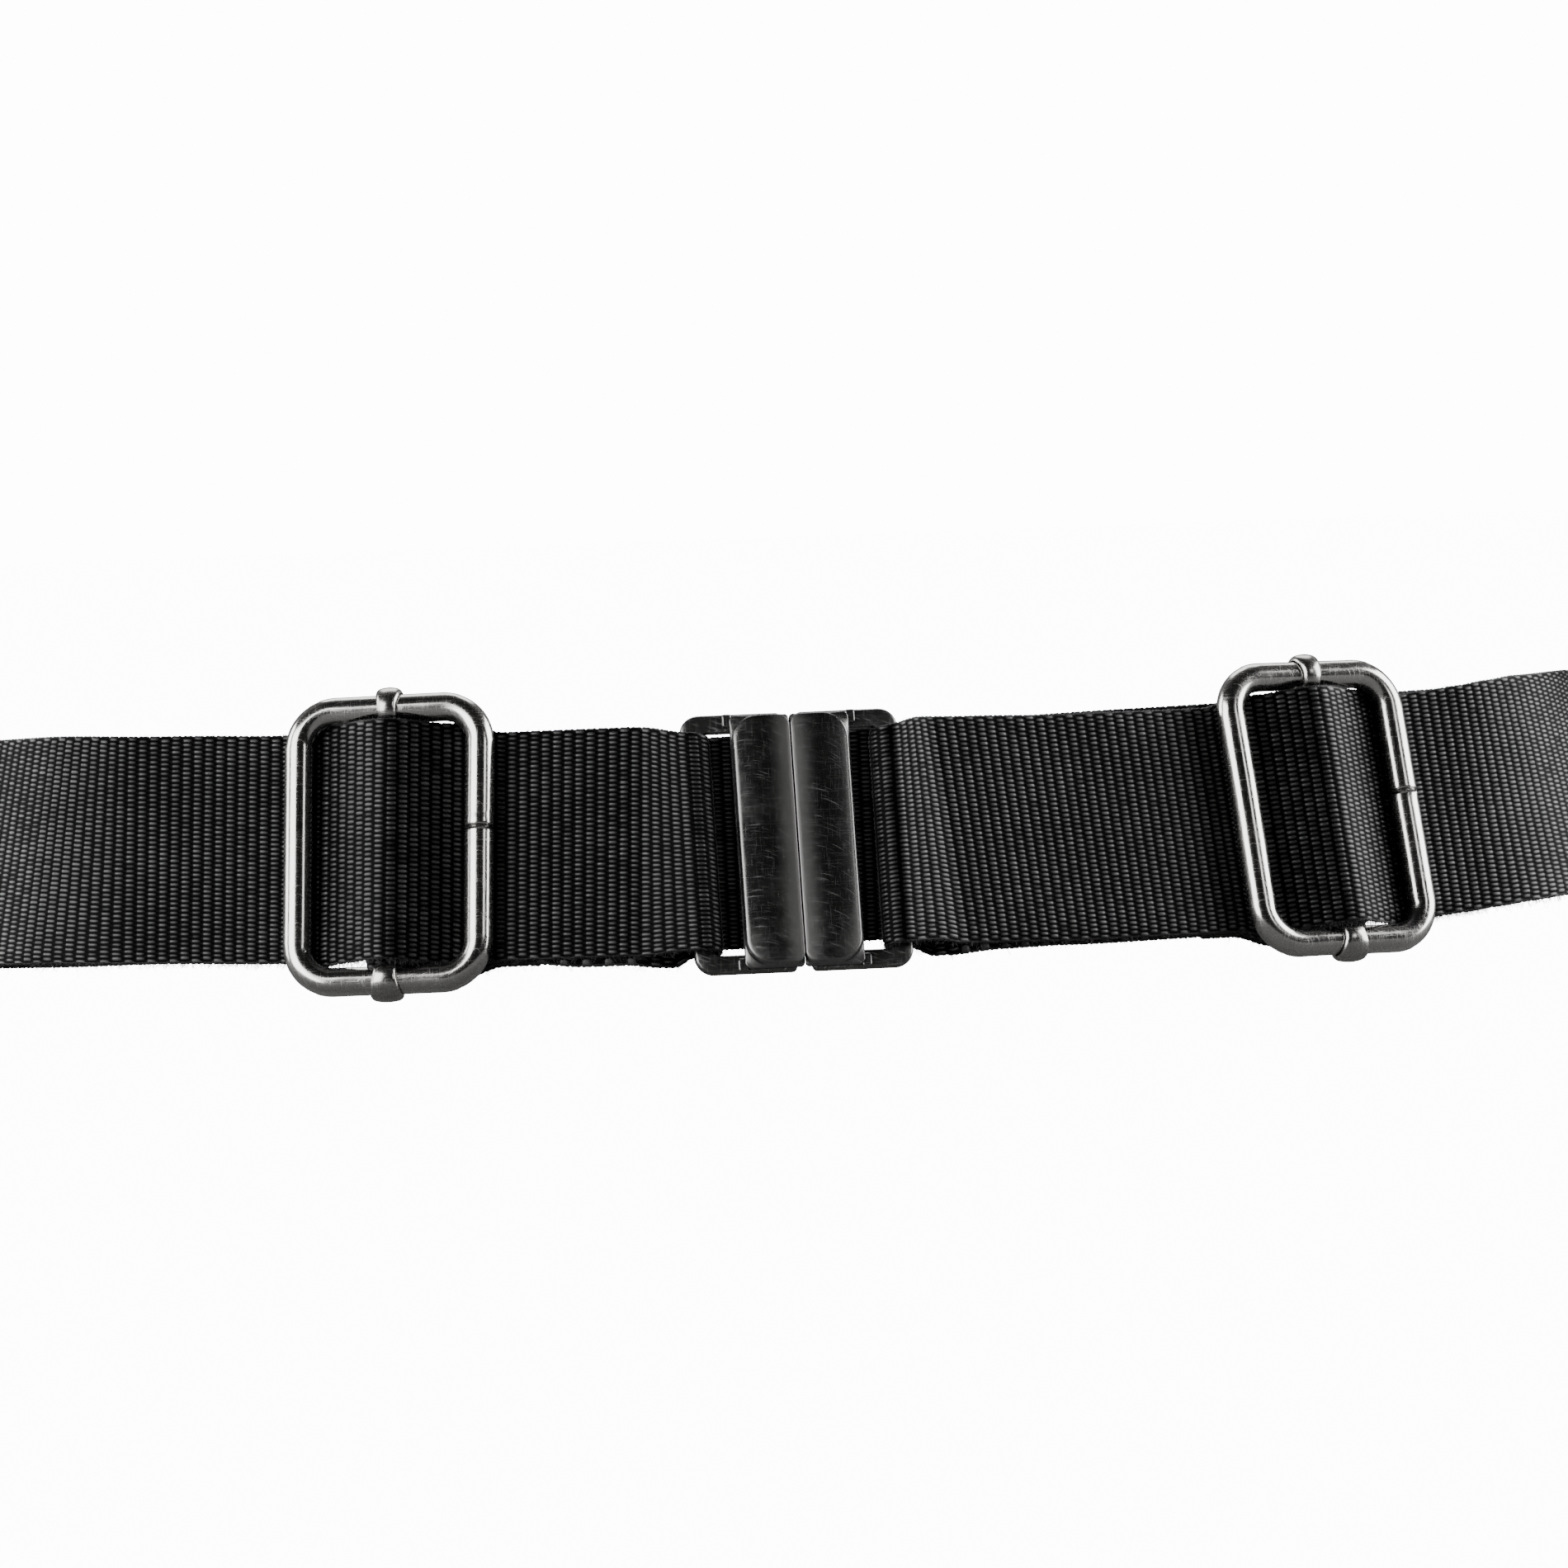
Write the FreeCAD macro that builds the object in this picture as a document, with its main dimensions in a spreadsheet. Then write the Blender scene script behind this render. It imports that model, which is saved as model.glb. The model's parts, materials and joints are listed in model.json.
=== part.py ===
"""Dive weight belt: a 50 mm webbing loop with two sliders and a two-piece hook buckle.

Every piece is designed level, with the loop's plan in XY, the lower edge of the webbing
at height 0 and the buckle's seam at the plan's zero. The stance at the end tips the whole
belt so that both sliders and the rear lower edge stand on the floor.
"""

import FreeCAD
import Part

import os
from math import asin, atan, atan2, cos, degrees, hypot, pi, radians, sin

Vector = FreeCAD.Vector
Rotation = FreeCAD.Rotation
Placement = FreeCAD.Placement
Z_AXIS = Vector(0, 0, 1)

SIZES = {
    # webbing
    "web_width": 50,
    "web_thick": 1.5,
    "layer_gap": 0.3,
    "fit_gap": 0.3,
    # plan of the loop: each end runs straight from its buckle bar, bends, and joins the rear band
    "loop_depth": 190,
    "left_run": 126,
    "right_run": 145,
    "left_yaw": -10,
    "right_yaw": 27,
    "left_bend_radius": 45,
    "left_bend_turn": 30,
    "right_bend_radius": 60,
    "right_bend_turn": 20,
    # the belt is a cone, as on hips: its wall leans in towards the top
    "cone_lean": 14,
    # sliders
    "wire_diameter": 6.4,
    "window_wide": 34,
    "window_room": 4.6,
    "wire_corner": 8.25,
    "slider_bar_wide": 6,
    "slider_bar_thick": 2.5,
    "crimp_wall": 1.5,
    "crimp_clearance": 0.2,
    "crimp_top_wide": 5.4,
    "crimp_bottom_wide": 7,
    "left_slider_at": 67.7,
    "right_slider_at": 105.9,
    "crown_radius": 7,
    "crown_ease": 0.8,
    "sewn_tail": 34,
    "stitch_diameter": 0.7,
    "stitch_long": 2.2,
    "stitch_pitch": 3.3,
    "stitch_inset": 4,
    # buckle
    "buckle_yaw": 6,
    "bar_from_seam": 21.7,
    "loop_bar_wide": 4.6,
    "loop_arm": 3.4,
    "loop_thick": 2.4,
    "loop_side_gap": 0.8,
    "loop_corner": 4,
    "slot_round": 1,
    "slot_tuck": 1,
    "cover_wide": 12.8,
    "cover_inset": 0.8,
    "cover_thick": 3.6,
    "cover_corner": 2,
    "cover_round": 1.9,
    "cover_wall": 1.6,
    "cover_hollow": 1.2,
    "hollow_round": 0.8,
    "seam_gap": 0.4,
    "fold_length": 12,
    "tongue_tall": 30,
    "tongue_thick": 1.2,
    "tongue_reach": 9,
    "tongue_step": 2,
    "lip_thick": 1.2,
    "lip_rise": 1.9,
    "lip_play": 0.8,
}

doc = FreeCAD.newDocument("dive_weight_belt")
sheet = doc.addObject("Spreadsheet::Sheet", "sizes")
for row, (alias, value) in enumerate(SIZES.items(), start=1):
    sheet.set(f"A{row}", alias)
    sheet.set(f"B{row}", str(value))
    sheet.setAlias(f"B{row}", alias)
doc.recompute()


def size(alias):
    """The value of one named cell."""
    return float(sheet.get(alias))


def origin_plane(body, role):
    """One of a body's own origin planes."""
    return next(f for f in body.Origin.OriginFeatures if f.Role == role)


def new_body(label):
    body = doc.addObject("PartDesign::Body", label)
    body.Label = label
    return body


def new_sketch(body, name, role, offset=0.0):
    """A sketch on an origin plane, moved along that plane's normal."""
    sketch = body.newObject("Sketcher::SketchObject", name)
    sketch.AttachmentSupport = [(origin_plane(body, role), "")]
    sketch.MapMode = "FlatFace"
    sketch.AttachmentOffset = Placement(Vector(0, 0, offset), Rotation())
    return sketch


def pad(body, sketch, name, length, symmetric=True):
    """A pad whose length is a sheet expression."""
    feature = body.newObject("PartDesign::Pad", name)
    feature.Profile = sketch
    feature.setExpression("Length", length)
    if symmetric:
        feature.SideType = "Symmetric"
    return feature


def pocket(body, sketch, name, length):
    """A symmetric pocket, checked to have removed material."""
    doc.recompute()
    before = body.Shape.Volume
    feature = body.newObject("PartDesign::Pocket", name)
    feature.Profile = sketch
    feature.setExpression("Length", length)
    feature.SideType = "Symmetric"
    doc.recompute()
    if body.Shape.Volume > before - 1e-3:
        raise ValueError(f"{body.Label}: {name} cuts nothing")
    return feature


def arc_edge(x, y, radius, start, end):
    """An arc by its centre and its end angles in degrees, counter-clockwise."""
    return Part.ArcOfCircle(Part.Circle(Vector(x, y, 0), Z_AXIS, radius), radians(start), radians(end))


def polygon(sketch, points):
    for here, there in zip(points, points[1:] + points[:1]):
        sketch.addGeometry(Part.LineSegment(Vector(*here, 0), Vector(*there, 0)))


def rounded_rectangle(sketch, left, right, low, high, radii):
    """A rectangle with corner radii given from lower right, counter-clockwise."""
    corners = [(right, low), (right, high), (left, high), (left, low)]
    inward = [(-1, 1), (-1, -1), (1, -1), (1, 1)]
    first_angle = [270, 0, 90, 180]
    ends = []
    for (x, y), (dx, dy), r, angle in zip(corners, inward, radii, first_angle):
        centre = (x + dx * r, y + dy * r)
        start = (centre[0] + r * cos(radians(angle)), centre[1] + r * sin(radians(angle)))
        stop = (centre[0] + r * cos(radians(angle + 90)), centre[1] + r * sin(radians(angle + 90)))
        sketch.addGeometry(arc_edge(*centre, r, angle, angle + 90))
        ends.append((start, stop))
    for (_, stop), (start, _) in zip(ends, ends[1:] + ends[:1]):
        sketch.addGeometry(Part.LineSegment(Vector(*stop, 0), Vector(*start, 0)))


def walk(start, heading, moves):
    """Follows lines ("line", length) and arcs ("arc", radius, turn), turn positive to the left.

    Gives each move with the point and heading that it starts from, and the end point and heading.
    """
    x, y = start
    steps = []
    for move in moves:
        steps.append((move, (x, y), heading))
        if move[0] == "line":
            x += move[1] * cos(radians(heading))
            y += move[1] * sin(radians(heading))
        else:
            side = 1 if move[2] > 0 else -1
            cx = x - side * move[1] * sin(radians(heading))
            cy = y + side * move[1] * cos(radians(heading))
            heading += move[2]
            x = cx + side * move[1] * sin(radians(heading))
            y = cy - side * move[1] * cos(radians(heading))
    return steps, (x, y), heading


def offset_point(point, heading, left):
    """A point moved to the left of a heading."""
    return (point[0] - left * sin(radians(heading)), point[1] + left * cos(radians(heading)))


def band_outline(sketch, start, heading, moves, left, right):
    """The closed outline between two offsets, both counted to the left of a walked line."""
    steps, end, end_heading = walk(start, heading, moves)
    for side in (left, right):
        for move, point, at in steps:
            if move[0] == "line":
                far = (point[0] + move[1] * cos(radians(at)), point[1] + move[1] * sin(radians(at)))
                edge = Part.LineSegment(
                    Vector(*offset_point(point, at, side), 0), Vector(*offset_point(far, at, side), 0)
                )
            else:
                turn = 1 if move[2] > 0 else -1
                centre = offset_point(point, at, turn * move[1])
                angles = sorted((at - 90 * turn, at - 90 * turn + move[2]))
                edge = arc_edge(*centre, move[1] - turn * side, *angles)
            sketch.addGeometry(edge)
    for point, at in ((start, heading), (end, end_heading)):
        sketch.addGeometry(
            Part.LineSegment(
                Vector(*offset_point(point, at, left), 0), Vector(*offset_point(point, at, right), 0)
            )
        )


def band(label, start, heading, moves):
    """Webbing standing on edge along a walked centreline: its outline padded to the strap's width."""
    half = size("web_thick") / 2
    body = new_body(label)
    outline = new_sketch(body, f"{label}_outline", "XY_Plane")
    band_outline(outline, start, heading, moves, half, -half)
    pad(body, outline, f"{label}_width", "sizes.web_width", symmetric=False)
    return body


def loft(body, low, high):
    """A ruled loft between two sketches."""
    feature = body.newObject("PartDesign::AdditiveLoft", f"{body.Label}_loft")
    feature.Profile = low
    feature.Sections = [high]
    feature.Ruled = True
    return feature


def cone_band(label, start, heading, moves, inward):
    """Webbing leaning in with the cone along a line walked at mid-height.

    inward is 1 where the loop's inside is to the left of the heading, and -1 where it is to the right.
    """
    lean = radians(size("cone_lean"))
    half = size("web_thick") / 2 / cos(lean)
    shift = size("web_width") / 2 * sin(lean)
    body = new_body(label)
    sketches = []
    for name, up in (("lower", -1), ("upper", 1)):
        sketch = new_sketch(body, f"{label}_{name}", "XY_Plane")
        rise = f"sizes.web_width / 2 * (1 + {up} * cos(sizes.cone_lean * 1 deg))"
        sketch.setExpression(".AttachmentOffset.Base.z", rise)
        offset = inward * up * shift
        band_outline(sketch, start, heading, moves, offset + half, offset - half)
        sketches.append(sketch)
    loft(body, *sketches)
    return body


# ---- the loop's plan, level ----------------------------------------------------------------

web = size("web_thick")
middle = size("web_width") / 2
layer_step = web + size("layer_gap")
wire = size("wire_diameter") / 2
# The slider's wires stand in front of the outer layer; all depths are measured outward from it.
wire_depth = web / 2 + size("fit_gap") + wire
half_pitch = (size("window_wide") + size("wire_diameter")) / 2
half_height = (size("web_width") + size("window_room") + size("wire_diameter")) / 2
bar_depth = -layer_step / 2


def turned(x, y, angle):
    c, s = cos(radians(angle)), sin(radians(angle))
    return (x * c - y * s, x * s + y * c)


class Side:
    """One end of the belt: where its buckle bar is, which way it runs, and which local Y is outward."""

    def __init__(self, name, sign, outward):
        self.name = name
        self.sign = sign
        self.outward = outward
        self.bar = turned(sign * size("bar_from_seam"), 0, size("buckle_yaw"))
        self.yaw = size(f"{name}_yaw")
        self.heading = self.yaw if sign > 0 else 180 + self.yaw
        self.run = size(f"{name}_run")
        self.slider = size(f"{name}_slider_at")
        bar_centre = Vector(self.bar[0], self.bar[1], middle)
        lean = Rotation(Vector(1, 0, 0), outward * size("cone_lean"))
        # the run's frame: x along it, y outward or inward, z from the lower edge
        run_frame = Placement(bar_centre, Rotation(Z_AXIS, self.heading) * lean)
        self.level = run_frame * Placement(Vector(0, -outward * bar_depth, -middle), Rotation())
        # the half's frame: zero at its loop bar's middle
        buckle_turn = size("buckle_yaw") if sign > 0 else 180 + size("buckle_yaw")
        self.half_level = Placement(bar_centre, Rotation(Z_AXIS, buckle_turn) * lean)

    def point(self, along, depth=0.0):
        """A plan point at mid-height along the run, outward by a depth from the outer layer's middle."""
        where = self.level.multVec(Vector(along, self.outward * depth, middle))
        return (where.x, where.y)


LEFT = Side("left", -1, 1)
RIGHT = Side("right", 1, -1)
level_of = {}


def keep(body, level):
    level_of[body.Label] = level
    return body


def side_band(side, part, start, heading, moves):
    """A band in a side's own frame: x along the run, depth outward; a positive turn goes outward."""
    mirrored = [m if m[0] == "line" else ("arc", m[1], side.outward * m[2]) for m in moves]
    start = (start[0], side.outward * start[1])
    return keep(band(f"{side.name}_{part}", start, side.outward * heading, mirrored), side.level)


# ---- webbing of one end --------------------------------------------------------------------

# The hump over the slider's bar: round the wire, a straight flank, round the sewn bar. The wire's
# corners reach in over the strap's edges, so the hump starts that much inside the side bars.
sewn_depth = size("slider_bar_thick") / 2 + size("fit_gap") + web
crown_radius = size("crown_radius")
crown_depth = wire_depth + sewn_depth + size("fit_gap") + size("crown_ease") + web / 2
toe_radius = wire + size("fit_gap") + web / 2
above_corner = max(0, middle - (half_height - size("wire_corner")))
corner_reach = size("wire_corner") - (size("wire_corner") ** 2 - above_corner**2) ** 0.5
toe_at = half_pitch - corner_reach
rise = crown_depth - crown_radius - wire_depth
flank_turn = degrees(asin((toe_radius + crown_radius) / hypot(toe_at, rise)) + atan2(rise, toe_at))
flank = (hypot(toe_at, rise) ** 2 - (toe_radius + crown_radius) ** 2) ** 0.5

fold_radius = hypot(size("loop_bar_wide") / 2, size("loop_thick") / 2) + size("fit_gap") + web / 2
return_end = half_pitch - wire
sewn_start_depth = -layer_step


def buckle_fold(side):
    """The webbing's turn round the buckle's bar, from the outer layer to the return layer."""
    label = f"{side.name}_buckle_fold"
    body = new_body(label)
    outer = fold_radius + web / 2
    inner = fold_radius - web / 2
    tip = size("fold_length")
    # the buckle's bar is a little out of square with the run, so the fold follows it up
    into_run = side.level.inverse() * side.half_level
    low_bar, high_bar = (into_run.multVec(Vector(0, 0, z)) for z in (-middle, middle))
    sketches = []
    for name, bar, height in (("lower", low_bar, "0"), ("upper", high_bar, "sizes.web_width")):
        x, depth = bar.x, side.outward * bar.y
        corners = [
            (x, depth + inner),
            (tip, -web / 2),
            (tip, web / 2),
            (x, depth + outer),
            (x, depth - outer),
            (tip, -layer_step - web / 2),
            (tip, -layer_step + web / 2),
            (x, depth - inner),
        ]
        sketch = new_sketch(body, f"{label}_{name}", "XY_Plane")
        sketch.setExpression(".AttachmentOffset.Base.z", height)
        points = [Vector(across, side.outward * out, 0) for across, out in corners]
        for leg in (points[:4], points[4:]):
            for here, there in zip(leg, leg[1:]):
                sketch.addGeometry(Part.LineSegment(here, there))
        for radius in (outer, inner):
            sketch.addGeometry(arc_edge(x, side.outward * depth, radius, 90, 270))
        sketches.append(sketch)
    loft(body, *sketches)
    keep(body, side.level)


def webbing(side):
    """The stretches of one end of the strap, apart from the fold and the sewn end."""
    near = side.slider - toe_at
    far = side.slider + toe_at
    tip = size("fold_length")
    side_band(side, "buckle_span", (tip, 0), 0, [("line", near - tip)])
    hump = [
        ("arc", toe_radius, flank_turn),
        ("line", flank),
        ("arc", crown_radius, -2 * flank_turn),
        ("line", flank),
        ("arc", toe_radius, flank_turn),
    ]
    side_band(side, "hump_webbing", (near, 0), 0, hump)
    side_band(side, "outer_span", (far, 0), 0, [("line", side.run - far)])
    side_band(side, "return_webbing", (tip, -layer_step), 0, [("line", side.slider - return_end - tip)])
    bend = [("arc", size(f"{side.name}_bend_radius"), -side.outward * size(f"{side.name}_bend_turn"))]
    start = side.point(side.run)
    label = f"{side.name}_bend_webbing"
    keep(cone_band(label, start, side.heading, bend, -side.outward), Placement())


def sewn_end(side):
    """The strap's end: round the slider's bar, back along itself, and sewn."""
    label = f"{side.name}_sewn_end"
    body = new_body(label)
    o = side.outward
    hole_x = size("slider_bar_wide") / 2 + size("fit_gap")
    hole_y = size("slider_bar_thick") / 2 + size("fit_gap")
    outer_x = hole_x + web
    outer_y = hole_y + web
    back = sewn_start_depth - web / 2
    tail_low = back - size("layer_gap") - web
    tail_high = back - size("layer_gap")
    points = [
        (-size("sewn_tail"), tail_high),
        (-return_end, tail_high),
        (-return_end, sewn_start_depth + web / 2),
        (-outer_x, wire_depth),
        (-outer_x + web / 3, wire_depth + hole_y),
        (-hole_x + web / 2, wire_depth + outer_y),
        (hole_x - web / 2, wire_depth + outer_y),
        (outer_x - web / 3, wire_depth + hole_y),
        (outer_x, wire_depth),
        (outer_x - web / 3, wire_depth - hole_y),
        (hole_x - web / 2, wire_depth - outer_y),
        (-hole_x + web / 2, wire_depth - outer_y - web / 2),
        (-return_end, tail_low),
        (-size("sewn_tail"), tail_low),
    ]
    outline = new_sketch(body, f"{label}_outline", "XY_Plane")
    polygon(outline, [(x, o * y) for x, y in points])
    polygon(
        outline,
        [(x, o * (wire_depth + y)) for x, y in
         ((-hole_x, -hole_y), (hole_x, -hole_y), (hole_x, hole_y), (-hole_x, hole_y))],
    )
    pad(body, outline, f"{label}_width", "sizes.web_width", symmetric=False)
    moved = Placement(Vector(side.slider, 0, 0), Rotation())
    keep(body, side.level * moved)


def stitching(side):
    """A box-and-cross row of thread through the sewn tail, standing just behind it."""
    label = f"{side.name}_stitching"
    inset = size("stitch_inset")
    tail = sewn_start_depth - web / 2 - size("layer_gap") - web
    depth = tail - size("stitch_diameter") / 2
    near = -size("sewn_tail") + inset
    far = -return_end - inset / 2
    pitch = size("stitch_pitch")
    stitches = []

    def row(a, b):
        length = hypot(b[0] - a[0], b[1] - a[1])
        count = int(length / pitch)
        for k in range(count):
            f = (k + 0.5) / count
            x = a[0] + (b[0] - a[0]) * f
            z = a[1] + (b[1] - a[1]) * f
            along = Vector(b[0] - a[0], 0, b[1] - a[1]).normalize()
            foot = Vector(x, side.outward * depth, z) - along * (size("stitch_long") / 2)
            radius, long = size("stitch_diameter") / 2, size("stitch_long")
            stitches.append(Part.makeCylinder(radius, long, foot, along))

    low = inset
    high = size("web_width") - inset
    row((near, low), (near, high))
    row((far, low), (far, high))
    row((near + pitch / 2, low), (far - pitch / 2, low))
    row((near + pitch / 2, high), (far - pitch / 2, high))
    thread = doc.addObject("Part::Feature", label)
    thread.Label = label
    thread.Shape = Part.makeCompound(stitches)
    keep(thread, side.level * Placement(Vector(side.slider, 0, 0), Rotation()))


# ---- sliders -------------------------------------------------------------------------------


def slider_level(side):
    """The slider's own frame, at its window's centre."""
    return side.level * Placement(Vector(side.slider, side.outward * wire_depth, middle), Rotation())


def slider_frame(side):
    label = f"{side.name}_slider_frame"
    body = new_body(label)
    r = size("wire_corner")
    path = new_sketch(body, f"{label}_path", "XZ_Plane")
    rounded_rectangle(path, -half_pitch, half_pitch, -half_height, half_height, [r] * 4)
    section = new_sketch(body, f"{label}_section", "XY_Plane")
    section.addGeometry(Part.Circle(Vector(half_pitch, 0, 0), Z_AXIS, wire))
    bend = body.newObject("PartDesign::AdditivePipe", f"{label}_wire")
    bend.Profile = section
    bend.Spine = (path, [f"Edge{n + 1}" for n in range(8)])
    doc.recompute()
    wire_length = 4 * (half_pitch + half_height - 2 * r) + 2 * pi * r
    if abs(body.Shape.Volume - pi * wire**2 * wire_length) > 1:
        raise ValueError(f"{label}: the wire's volume is wrong")
    keep(body, slider_level(side))


def slider_bar(side):
    """A flat bar whose ends are curled round the frame's top and bottom wires."""
    label = f"{side.name}_slider_bar"
    body = new_body(label)
    bore = wire + size("crimp_clearance")
    outside = bore + size("crimp_wall")
    flat = new_sketch(body, f"{label}_flat", "XY_Plane")
    half_x = size("slider_bar_wide") / 2
    half_y = size("slider_bar_thick") / 2
    polygon(flat, [(-half_x, -half_y), (half_x, -half_y), (half_x, half_y), (-half_x, half_y)])
    # the flat reaches into the curls' walls, but not into their bores
    window_tall = "sizes.web_width + sizes.window_room"
    stem = f"{window_tall} - 2 * sizes.crimp_clearance - sizes.crimp_wall"
    pad(body, flat, f"{label}_stem", stem)
    for end, height in (("top", half_height), ("bottom", -half_height)):
        curl = new_sketch(body, f"{label}_{end}_curl", "YZ_Plane")
        curl.addGeometry(Part.Circle(Vector(0, height, 0), Z_AXIS, outside))
        curl.addGeometry(Part.Circle(Vector(0, height, 0), Z_AXIS, bore))
        pad(body, curl, f"{label}_{end}", f"sizes.crimp_{end}_wide")
    keep(body, slider_level(side))


# ---- buckle --------------------------------------------------------------------------------

# A half's own frame: zero at its loop bar's middle, x away from the seam, y outward or inward
# by the side, z up from the strap's middle.
half_loop = size("web_width") / 2 + size("loop_side_gap")
to_seam = size("bar_from_seam")


def xz_offset(side, depth):
    """The offset along the XZ plane's normal, which is -Y, that puts a sketch at an outward depth."""
    return -side.outward * depth


def buckle_loop(side):
    """The base of a half: a flat ring whose slot takes the strap, solid under the cover."""
    label = f"{side.name}_buckle_loop"
    body = new_body(label)
    bar = size("loop_bar_wide") / 2
    arm = size("loop_arm")
    r = size("loop_corner")
    plate = new_sketch(body, f"{label}_outline", "XZ_Plane")
    seam_side = -to_seam + size("cover_wall")
    slot_round = size("slot_round")
    corners = [r, r, slot_round, slot_round]
    rounded_rectangle(plate, seam_side, bar, -half_loop - arm, half_loop + arm, corners)
    slot_side = -to_seam + size("seam_gap") / 2 + size("cover_wide") - size("slot_tuck")
    rounded_rectangle(plate, slot_side, -bar, -half_loop, half_loop, [slot_round] * 4)
    pad(body, plate, f"{label}_plate", "sizes.loop_thick")
    if side is LEFT:
        hook = new_sketch(body, f"{label}_hook_slot", "XZ_Plane")
        tall = size("tongue_tall") / 2 + size("fit_gap")
        lip_far = -to_seam + size("tongue_reach")
        polygon(
            hook,
            [
                (lip_far - size("lip_thick") - size("lip_play"), -tall),
                (lip_far + size("fit_gap"), -tall),
                (lip_far + size("fit_gap"), tall),
                (lip_far - size("lip_thick") - size("lip_play"), tall),
            ],
        )
        pocket(body, hook, f"{label}_hook", "2 * sizes.loop_thick")
    keep(body, side.half_level)


def buckle_cover(side):
    """The polished front of a half: a pillow-shaped shell on the loop's plate."""
    label = f"{side.name}_buckle_cover"
    body = new_body(label)
    seam = -to_seam + size("seam_gap") / 2
    tall = half_loop + size("loop_arm") - size("cover_inset")
    thick = size("cover_thick")
    middle_depth = size("loop_thick") / 2 + thick / 2
    front = new_sketch(body, f"{label}_outline", "XZ_Plane", xz_offset(side, middle_depth))
    r = size("cover_corner")
    rounded_rectangle(front, seam, seam + size("cover_wide"), -tall, tall, [r] * 4)
    shell = pad(body, front, f"{label}_shell", "sizes.cover_thick")
    doc.recompute()
    outer_y = side.outward * (middle_depth + thick / 2)
    edges = [
        f"Edge{n}"
        for n, edge in enumerate(shell.Shape.Edges, start=1)
        if all(abs(v.Point.y - outer_y) < 1e-6 for v in edge.Vertexes)
    ]
    pillow = body.newObject("PartDesign::Fillet", f"{label}_pillow")
    pillow.Base = (shell, edges)
    pillow.Radius = size("cover_round")
    wall = size("cover_wall")
    back = new_sketch(body, f"{label}_back", "XZ_Plane", xz_offset(side, size("loop_thick") / 2))
    hollow_corners = [size("hollow_round")] * 4
    rounded_rectangle(
        back, seam + wall, seam + size("cover_wide") - wall, -tall + wall, tall - wall, hollow_corners
    )
    # symmetric about the shell's back face, so half of it is in the shell
    pocket(body, back, f"{label}_hollow", "2 * sizes.cover_hollow")
    keep(body, side.half_level)


def buckle_tongue():
    """A plate behind the right half that reaches behind the left one and hooks it by a lip."""
    label = "buckle_tongue"
    body = new_body(label)
    back = -size("loop_thick") / 2
    front_y = back - size("fit_gap")
    rear_y = front_y - size("tongue_thick")
    lip_y = front_y + size("lip_rise")
    reach = -to_seam - size("tongue_reach")
    root = -to_seam + size("cover_wall") + size("tongue_reach")
    step = -to_seam + size("cover_wall") + size("tongue_step")
    section = new_sketch(body, f"{label}_section", "XY_Plane")
    points = [
        (root, rear_y),
        (root, back),
        (step, back),
        (step, front_y),
        (reach + size("lip_thick"), front_y),
        (reach + size("lip_thick"), lip_y),
        (reach, lip_y),
        (reach, rear_y),
    ]
    polygon(section, [(x, RIGHT.outward * y) for x, y in points])
    pad(body, section, f"{label}_height", "sizes.tongue_tall")
    keep(body, RIGHT.half_level)


# ---- build ---------------------------------------------------------------------------------

for side in (LEFT, RIGHT):
    webbing(side)
    buckle_fold(side)
    sewn_end(side)
    stitching(side)
    slider_frame(side)
    slider_bar(side)
    buckle_loop(side)
    buckle_cover(side)
buckle_tongue()

# The rear band closes the loop: an arc from each bend to a straight run at the loop's depth.
left_turn = size("left_bend_turn") - size("left_yaw")
right_turn = size("right_bend_turn") + size("right_yaw")


def bend_end(side):
    start = side.point(side.run)
    turn = -side.outward * size(f"{side.name}_bend_turn")
    _, end, _ = walk(start, side.heading, [("arc", size(f"{side.name}_bend_radius"), turn)])
    return end


left_end = bend_end(LEFT)
right_end = bend_end(RIGHT)
left_radius = (size("loop_depth") - left_end[1]) / (1 + cos(radians(left_turn)))
right_radius = (size("loop_depth") - right_end[1]) / (1 + cos(radians(right_turn)))
rear_from = left_end[0] + left_radius * sin(radians(left_turn))
rear_to = right_end[0] - right_radius * sin(radians(right_turn))
rear_moves = [
    ("arc", left_radius, -(180 - left_turn)),
    ("line", rear_to - rear_from),
    ("arc", right_radius, -(180 - right_turn)),
]
keep(cone_band("rear_webbing", left_end, 180 - left_turn, rear_moves, -1), Placement())

# ---- stance --------------------------------------------------------------------------------

# Both sliders' lower curls and the rear band's lower edge touch the floor.
lean = radians(size("cone_lean"))
curl_radius = wire + size("crimp_clearance") + size("crimp_wall")


def foot(side):
    curl = side.level.multVec(Vector(side.slider, side.outward * wire_depth, middle - half_height))
    return curl - Vector(0, 0, curl_radius)


left_foot = foot(LEFT)
right_foot = foot(RIGHT)
foot_line = (right_foot - left_foot).normalize()
rearward = Z_AXIS.cross(foot_line)
lower_edge = middle * (1 - cos(lean)) - web / 2 * sin(lean)
lower_radius = left_radius + middle * sin(lean) + web / 2
arc_centre = Vector(rear_from, size("loop_depth") - left_radius, lower_edge)
rear_reach = (arc_centre - left_foot).dot(rearward) + lower_radius
tilt = Rotation(foot_line, -degrees(atan((lower_edge - left_foot.z) / rear_reach)))


def place_all(stance):
    for label, level in level_of.items():
        doc.getObject(label).Placement = stance * level
    doc.recompute()
    box = FreeCAD.BoundBox()
    for label in level_of:
        box.add(doc.getObject(label).Shape.BoundBox)
    return box


box = place_all(Placement(Vector(), tilt))
stance = Placement(Vector(-box.Center.x, -box.Center.y, -box.ZMin), tilt)
box = place_all(stance)

# ---- check and write -----------------------------------------------------------------------

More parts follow.
